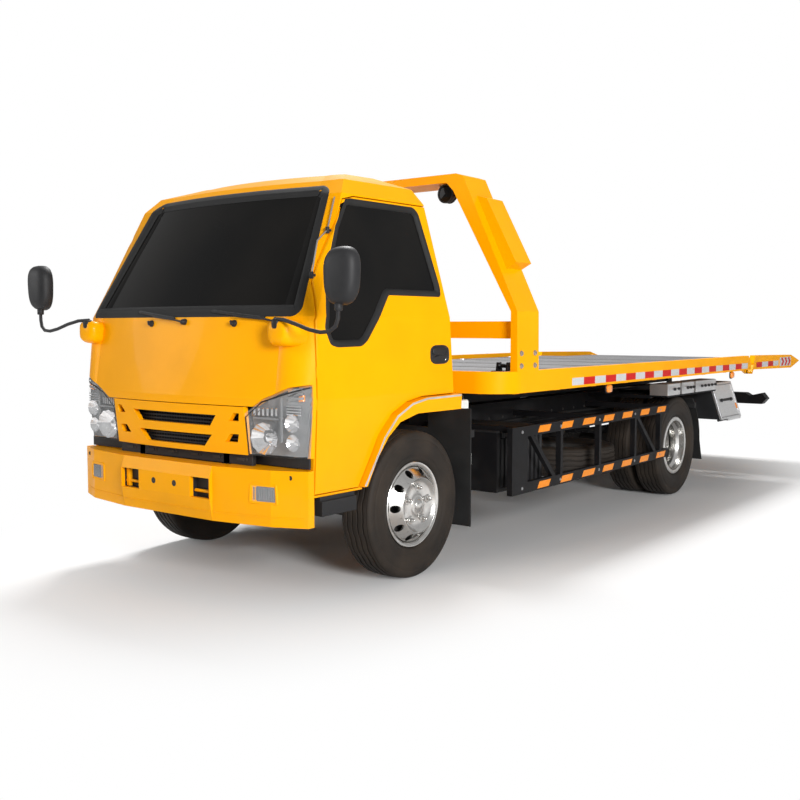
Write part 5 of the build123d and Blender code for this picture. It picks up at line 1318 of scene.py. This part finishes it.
def deck_pulley():
    """A rope pulley between two cheeks on a plate of the deck."""
    pin_y, pin_z = 1240, 1070
    work = Work()
    work.slab(on_top(box_outline(560, 700, pin_y - 50, pin_y + 50, 0.08), deck_top), (0, 0, 8), 2)
    for x in (590, 662):
        work.slab(on_side([(1206, 1036), (1274, 1036), (1262, 1092), (1218, 1092)], x), (10, 0, 0), 2)
    wheel = [(-34, 22), (-26, 22), (-18, 14), (18, 14), (26, 22), (34, 22)]
    work.turned(wheel, spot(631, pin_y, pin_z), "X", 28)
    work.bolt(spot(672, pin_y, pin_z), (1, 0, 0), 9)
    work.bolt(spot(590, pin_y, pin_z), (-1, 0, 0), 9)
    work.done("deck_pulley", frame_paint, "bed", "frame_paint")


def lashing_rings():
    """Recessed cups in the deck, each with a ring for a strap."""
    work = Work()
    for side in both_sides:
        for y in (1500, 2300, 3100, 3900):
            middle = spot(side * 930, y, deck_top)
            work.turned([(0, 34), (5, 33), (5, 27), (1, 26)], middle, "Z", 28, closed=True)
            work.tube([middle + Vector((20 * math.cos(a), 20 * math.sin(a), 4)) * mm
                       for a in (math.pi * k / 8 for k in range(17))], 4, 8)
    work.done("lashing_rings", bare_steel, "bed", "bright_steel", 50)


def deck_seams():
    """The step behind the winch and the welds across the deck."""
    half = 1030
    work = Work()
    work.slab(on_top(box_points(-half, half, 1100, 1124), deck_top), (0, 0, 3), 1)
    for y in range(1800, 4500, 680):
        work.slab(on_top(box_points(-half, half, y, y + 10), deck_top), (0, 0, 1.6), 0.6)
    work.done("deck_seams", cast_iron, "bed", "deck_steel")


def tail_hinge_pins():
    work = Work()
    for side in both_sides:
        pin = spot(side * 1035, 4622, 930)
        work.turned([(0, 24), (6, 23), (8, 18), (8, 1)], pin, "X", 28, side=side)
        work.turned([(8, 11), (12, 10), (13, 1)], pin, "X", 20, side=side)
    work.done("tail_hinge_pins", frame_paint, "tail", "cast_steel", 50)


for make in (bed_tape, tail_marks, marker_lamps, work_lamps, headboard_bolts, winch_rope, winch_fittings,
             deck_pulley, lashing_rings, deck_seams, tail_hinge_pins):
    make()


# Frame: guards, lockers, tank, battery, bottle, pipes and rear lamps

def guard_strips():
    """Slanted amber strips and post bolts on the side guards."""
    strips, bolts = Work(), Work()
    low, high = solid_box("side_guards")
    lean, inset, height = 26, 9, 40
    low_bar = (low.z + inset, low.z + inset + height)
    high_bar = (high.z - inset - height, high.z - inset)
    starts_ends = ((1026, 1190), (1310, 1478), (1596, 1786), (1889, 2066), (2180, 2358), (2476, 2645),
                   (2765, 2940))
    for side in both_sides:
        for start, end in starts_ends:
            for foot, top in (low_bar, high_bar):
                strips.grid([on_side([(y, foot), (y + lean, top)], side * (high.x + 0.8))
                             for y in (start, (start + end - lean) / 2, end - lean)])
                side_outline = [(start, foot), (end - lean, foot), (end, top), (start + lean, top)]
                strips.slab(on_side(side_outline, side * high.x), (side * 0.9, 0, 0), 0.2)
        for share in (0.05, 0.255, 0.49, 0.735, 0.93):
            y = low.y + (high.y - low.y) * share
            for z in (376, 706):
                bolts.bolt(spot(side * (high.x - 1), y, z), (side, 0, 0), 8, 0.6)
    strips.done("guard_strips", amber_sheet, "chassis", "amber_lens")
    bolts.done("guard_bolts", bare_steel, "chassis", "bright_steel")


def locker_lid(side):
    """A long latch between two round locks, a rim and an amber reflector on a locker's lid."""
    word, out = side_word[side], out_side[side]
    body = f"box_lid_{word}"
    skin = Surface(body)
    low, high = solid_box(body)

    def face(y, z):
        return skin.side(y, z, side)

    latch, rim, tag = Work(), Work(), Work()
    latch_section = ((690, 0), (694, 5), (708, 5), (712, 0))
    latch.grid([[seat_on(face(y, z), y, z, out, rise) for z, rise in latch_section]
                for y in range(round(low.y) + 90, round(high.y) - 80, 30)])
    for y in (low.y + 130, high.y - 130):
        latch.turned([(0, 17), (8, 16), (11, 12), (11, 1)], face(y, 700), "X", 24, side=side)
    outline = box_points(low.y + 20, high.y - 20, 566, 826)
    strip_on(rim, outline + outline[:1], face, out, 9, 3)
    latch.done(f"box_latch_{word}", black_plastic, body, "trim_plastic", 45)
    rim.done(f"box_lid_rim_{word}", bare_steel, body, "bright_steel", 45)
    tag.slab([seat_on(face(y, z), y, z, out, 0) for y, z in box_points(4408, 4440, 618, 662)], out * 2, 0.4)
    tag.done(f"box_side_reflector_{word}", amber_sheet, body, "amber_lens")


def control_levers():
    """Levers with round knobs under cover plates, in three groups a side."""
    stems, knobs = Work(), Work()
    box_face, box_top = solid_box("lever_boxes")[1].x, solid_box("lever_boxes")[1].z
    knob = [(14, 1), (14, 8), (20, 11), (30, 11), (34, 8), (36, 1)]
    for side in both_sides:
        for start, end, count in ((2960, 3200, 2), (3240, 3480, 3), (3520, 3960, 5)):
            plate = box_points(box_face - 132, box_face - 8, start + 8, end - 8)
            stems.slab(on_top(plate, box_top, side), (0, 0, 3), 1)
            for index in range(count):
                y = start + (end - start) * (index + 1) / (count + 1)
                foot = spot(side * box_face, y, box_top - 37)
                stems.tube([foot, foot + Vector((side * 18, 0, 3)) * mm], 6)
                knobs.turned(knob, foot, "X", 18, side=side)
    stems.done("lever_stems", bare_steel, "chassis", "bright_steel")
    knobs.done("lever_knobs", black_plastic, "chassis", "trim_plastic", 50)


def tank_straps():
    """Three bands round the fuel tank, and its cap."""
    low, high = solid_box("side_boxes")
    inner, band, width = -346, 4, 34
    outer, foot, top = low.x - band, low.z - band, high.z + band
    middle = Vector((inner + outer, 0, foot + top)) / 2
    ring = [(inner, top), (outer, top), (outer, foot), (inner, foot)]
    work = Work()
    for y in (860, 1200, 1540):
        for (x0, z0), (x1, z1) in zip(ring, ring[1:]):
            away = (Vector((x0 + x1, 0, z0 + z1)) / 2 - middle).normalized()
            work.slab([spot(x0, y, z0), spot(x1, y, z1), spot(x1, y + width, z1), spot(x0, y + width, z0)],
                      away * 3, 0.5)
        work.bolt(spot(outer, y + width / 2, 650), (-1, 0, 0), 7)
    work.turned([(0, 44), (22, 42), (30, 38), (32, 34), (32, 1)], spot(-780, 960, high.z), "Z", 32)
    work.done("tank_straps_and_cap", bare_steel, "chassis", "bright_steel")


def battery_cover():
    """A ribbed cover over the battery box with two clips."""
    work = Work()
    face, top = solid_box("side_boxes")[1].x, solid_box("side_boxes")[1].z
    work.slab(on_top(box_points(344, face + 4, 754, 1296), top), (0, 0, 12), 4)
    for y in range(800, 1260, 50):
        work.slab(on_side(box_points(y, y + 24, top - 320, top - 40), face), (5, 0, 0), 3)
    for y in (820, 1230):
        work.slab(on_side(box_points(y - 18, y + 18, top - 32, top + 16), face + 4), (6, 0, 0), 2)
    work.done("battery_cover", black_plastic, "chassis", "trim_plastic")


def bottle_fittings():
    """The coolant bottle's cap and level marks."""
    work = Work()
    low, high = solid_box("coolant_bottle")
    cap = [(0, 24), (4, 26), (20, 26), (24, 22), (24, 1)]
    work.turned(cap, spot((low.x + high.x) / 2, (low.y + high.y) / 2, high.z), "Z", 28)
    for z in (low.z + 50, low.z + 110):
        work.slab(on_side(box_points(low.y + 6, high.y - 6, z, z + 5), high.x), (2, 0, 0), 0.4)
    work.done("bottle_cap_and_marks", black_plastic, "cab", "trim_plastic", 50)


def filter_housing():
    """A pale filter cup with its lid and pipe."""
    work = Work()
    work.slab(on_top(box_outline(762, 838, 488, 568, 0.12), 535), (0, 0, 72), 6)
    work.slab(on_top(box_outline(770, 830, 496, 560, 0.12), 607), (0, 0, 6), 3)
    work.tube([spot(800, 520, 530), spot(800, 506, 470), spot(800, 482, 440)], 9)
    work.done("filter_housing", milky, "chassis", "white_plastic")


def rail_fittings():
    """Rows of bolts on the frame rails, and pipes clipped along them."""
    bolts, pipes = Work(), Work()
    for side in both_sides:
        for index in range(24):
            for z in (600, 700):
                bolts.bolt(spot(side * 350, 480 + index * 172, z), (side, 0, 0), 8, 0.6)
        for z, radius in ((590, 6), (672, 9), (640, 5)):
            route = [spot(side * 362, y, z + 4 * math.sin(y / 300)) for y in range(1400, 4200, 140)]
            pipes.tube(route, radius, 8)
    bolts.done("frame_bolts", cast_iron, "chassis", "cast_steel")
    pipes.done("pipe_runs", rubber, "chassis", "rubber_black", 60)


def rear_lamps():
    """Stop, turn and reverse lenses in black cases, with the bare plate between them."""
    stop, turn, reverse, cases = Work(), Work(), Work(), Work()
    low, high = solid_box("tail_lamps")
    for side in both_sides:
        for inner, outer, lens in ((420, 540, reverse), (540, 650, stop), (650, 756, turn)):
            outline = box_outline(inner + 4, outer - 2, low.z + 7, high.z - 7, 0.06)
            lens.slab(on_front(outline, high.y - 4, side), (0, 12, 0), 4)
        outline = box_outline(414, high.x + 4, low.z - 4, high.z + 4, 0.05)
        cases.slab(on_front(outline, low.y + 6, side), (0, 42, 0), 3)
    cases.slab(on_front(box_outline(-250, 250, 640, 770, 0.03), high.y - 8), (0, 4, 0), 1)
    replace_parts(stop.done("rear_stop_lenses", red, "chassis", "red_lens"), "tail_lamps")
    turn.done("rear_turn_lenses", amber, "chassis", "amber_lens")
    reverse.done("rear_reverse_lenses", milky, "chassis", "clear_lens")
    cases.done("rear_lamp_cases", black_plastic, "chassis", "trim_plastic")


guard_strips()
for side in both_sides:
    locker_lid(side)
for make in (control_levers, tank_straps, battery_cover, bottle_fittings, filter_housing, rail_fittings,
             rear_lamps):
    make()


# Seats

seat_sides = ((180, 690), (-170, 170), (-690, -180))


def cushion(name, across, along, height, lean=0.0):
    """A crowned pad with rounded edges and two sewn channels, between (low, high) places on each axis."""
    work = Work()
    bmesh.ops.create_cube(work.mesh, size=1.0)
    bmesh.ops.subdivide_edges(work.mesh, edges=work.mesh.edges, cuts=7, use_grid_fill=True)
    for vert in work.mesh.verts:
        x, y, z = vert.co * 2
        crown = 1 - 0.16 * (abs(x) ** 4 + abs(y) ** 4 + abs(z) ** 4) / 1.6
        seam = 0.985 if abs(abs(x) - 0.5) < 0.08 else 1.0
        place = [(low + high) / 2 + (high - low) / 2 * part * pull for (low, high), part, pull in
                 ((across, x, crown), (along, y, crown * seam), (height, z, crown * seam))]
        vert.co = spot(place[0], place[1] + lean * (z + 1) / 2, place[2])
    piece = work.done(name, seat_cloth, "cab", "seat_cloth", 60)
    return piece


for index, (low, high) in enumerate(seat_sides):
    seat = cushion(f"seat_cushion_{index}", (low + 6, high - 6), (-285, 150), (1010, 1130))
    if index == 0:
        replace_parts(seat, "seats")
    cushion(f"seat_back_{index}", (low + 10, high - 10), (90, 190), (1120, 1560), lean=28)
seat_base = Work()
seat_base.slab(on_top(box_outline(-690, 690, -270, 200, 0.03), 930), (0, 0, 85), 6)
seat_base.done("seat_base", black_plastic, "cab", "trim_plastic")


# Camera, lamps, room and floor

front_axle_to_eye = Vector((3.9415, -4.1627, 1.3133))
eye_yaw, eye_pitch = 0.6532, 0.0728
lens_mm, sensor_mm = 45.08, 36.0
# name, place, target, size across and watts
lamp_table = (("key_lamp", (10.0, -7.5, 3.6), (0.0, 0.0, 1.0), 3.5, 1250.0),
              ("fill_lamp", (-8.0, -9.0, 4.0), (0.0, -1.0, 1.0), 4.5, 260.0),
              ("top_lamp", (-3.0, 2.0, 9.0), (0.0, 0.3, 0.5), 3.0, 1150.0))
room_level, glass_level, gloss_level = 0.2, 0.7, 0.5
floor_reach = 60.0
floor_shadow_reach = (0.55, 1.15)


def placed(name, data, place, run):
    """Put a camera or a lamp at a place, looking along a run."""
    piece = bpy.data.objects.new(name, data)
    piece.location = place
    piece.rotation_euler = run.to_track_quat("-Z", "Y").to_euler()
    bpy.context.scene.collection.objects.link(piece)
    return piece


def main_camera():
    """The view of the photograph, from ahead and to the left of the front axle."""
    data = bpy.data.cameras.new("camera")
    data.lens, data.sensor_width = lens_mm, sensor_mm
    look = Vector((-math.sin(eye_yaw) * math.cos(eye_pitch), math.cos(eye_yaw) * math.cos(eye_pitch),
                   -math.sin(eye_pitch)))
    bpy.context.scene.camera = placed("camera", data, front_axle_to_eye + Vector((0, axle_y, 0)), look)
    bpy.context.scene.view_settings.view_transform = "Standard"


def soft_lamp(name, place, target, size, power):
    data = bpy.data.lights.new(name, "AREA")
    data.shape, data.size, data.energy = "DISK", size, power
    placed(name, data, place, Vector(target) - Vector(place))


def white_room():
    """White to the eye, a little less to gloss and through glass, and a mild even light to the rest."""
    world = bpy.data.worlds.new("white_room")
    world.use_nodes = True
    bpy.context.scene.world = world
    room = Shading(world.node_tree)
    strength = room_level
    for ray, level in (("Is Camera Ray", 1.0), ("Is Transmission Ray", glass_level),
                       ("Is Glossy Ray", gloss_level)):
        strength = room.node("ShaderNodeLightPath", output=ray) * (level - room_level) + strength
    light = room.node("ShaderNodeBackground", values=((1.0, 1.0, 1.0, 1.0), strength))
    room.node("ShaderNodeOutputWorld", values=(light,))


def studio_floor():
    """A pale floor wide enough to have no edge in view, white to the eye away from the truck's shadow."""
    mesh = bpy.data.meshes.new("floor")
    corners = box_points(-floor_reach, floor_reach, -floor_reach, floor_reach)
    mesh.from_pydata([(x, y, 0) for x, y in corners], [], [(0, 1, 2, 3)])
    finish = Finish("pale_floor", roughness=0.95, specular_ior_level=0.0)
    finish.set("Base Color", finish.mix(finish.noise(0.6, 2.0), (0.80, 0.80, 0.80), (0.84, 0.84, 0.84)))
    across, along = finish.axis("X"), finish.axis("Y")
    away = (across * across * 0.22 + along * along * 0.045) ** 0.5
    to_eye = finish.node("ShaderNodeLightPath", output="Is Camera Ray")
    share = finish.soft(away, *floor_shadow_reach) * to_eye
    glow = finish.node("ShaderNodeEmission")
    blend = finish.node("ShaderNodeMixShader", values=(share, finish.shader, glow))
    finish.link(finish.output.node.inputs["Surface"], blend)
    added("floor", mesh, finish.material)


main_camera()
for lamp in lamp_table:
    soft_lamp(*lamp)
white_room()
studio_floor()
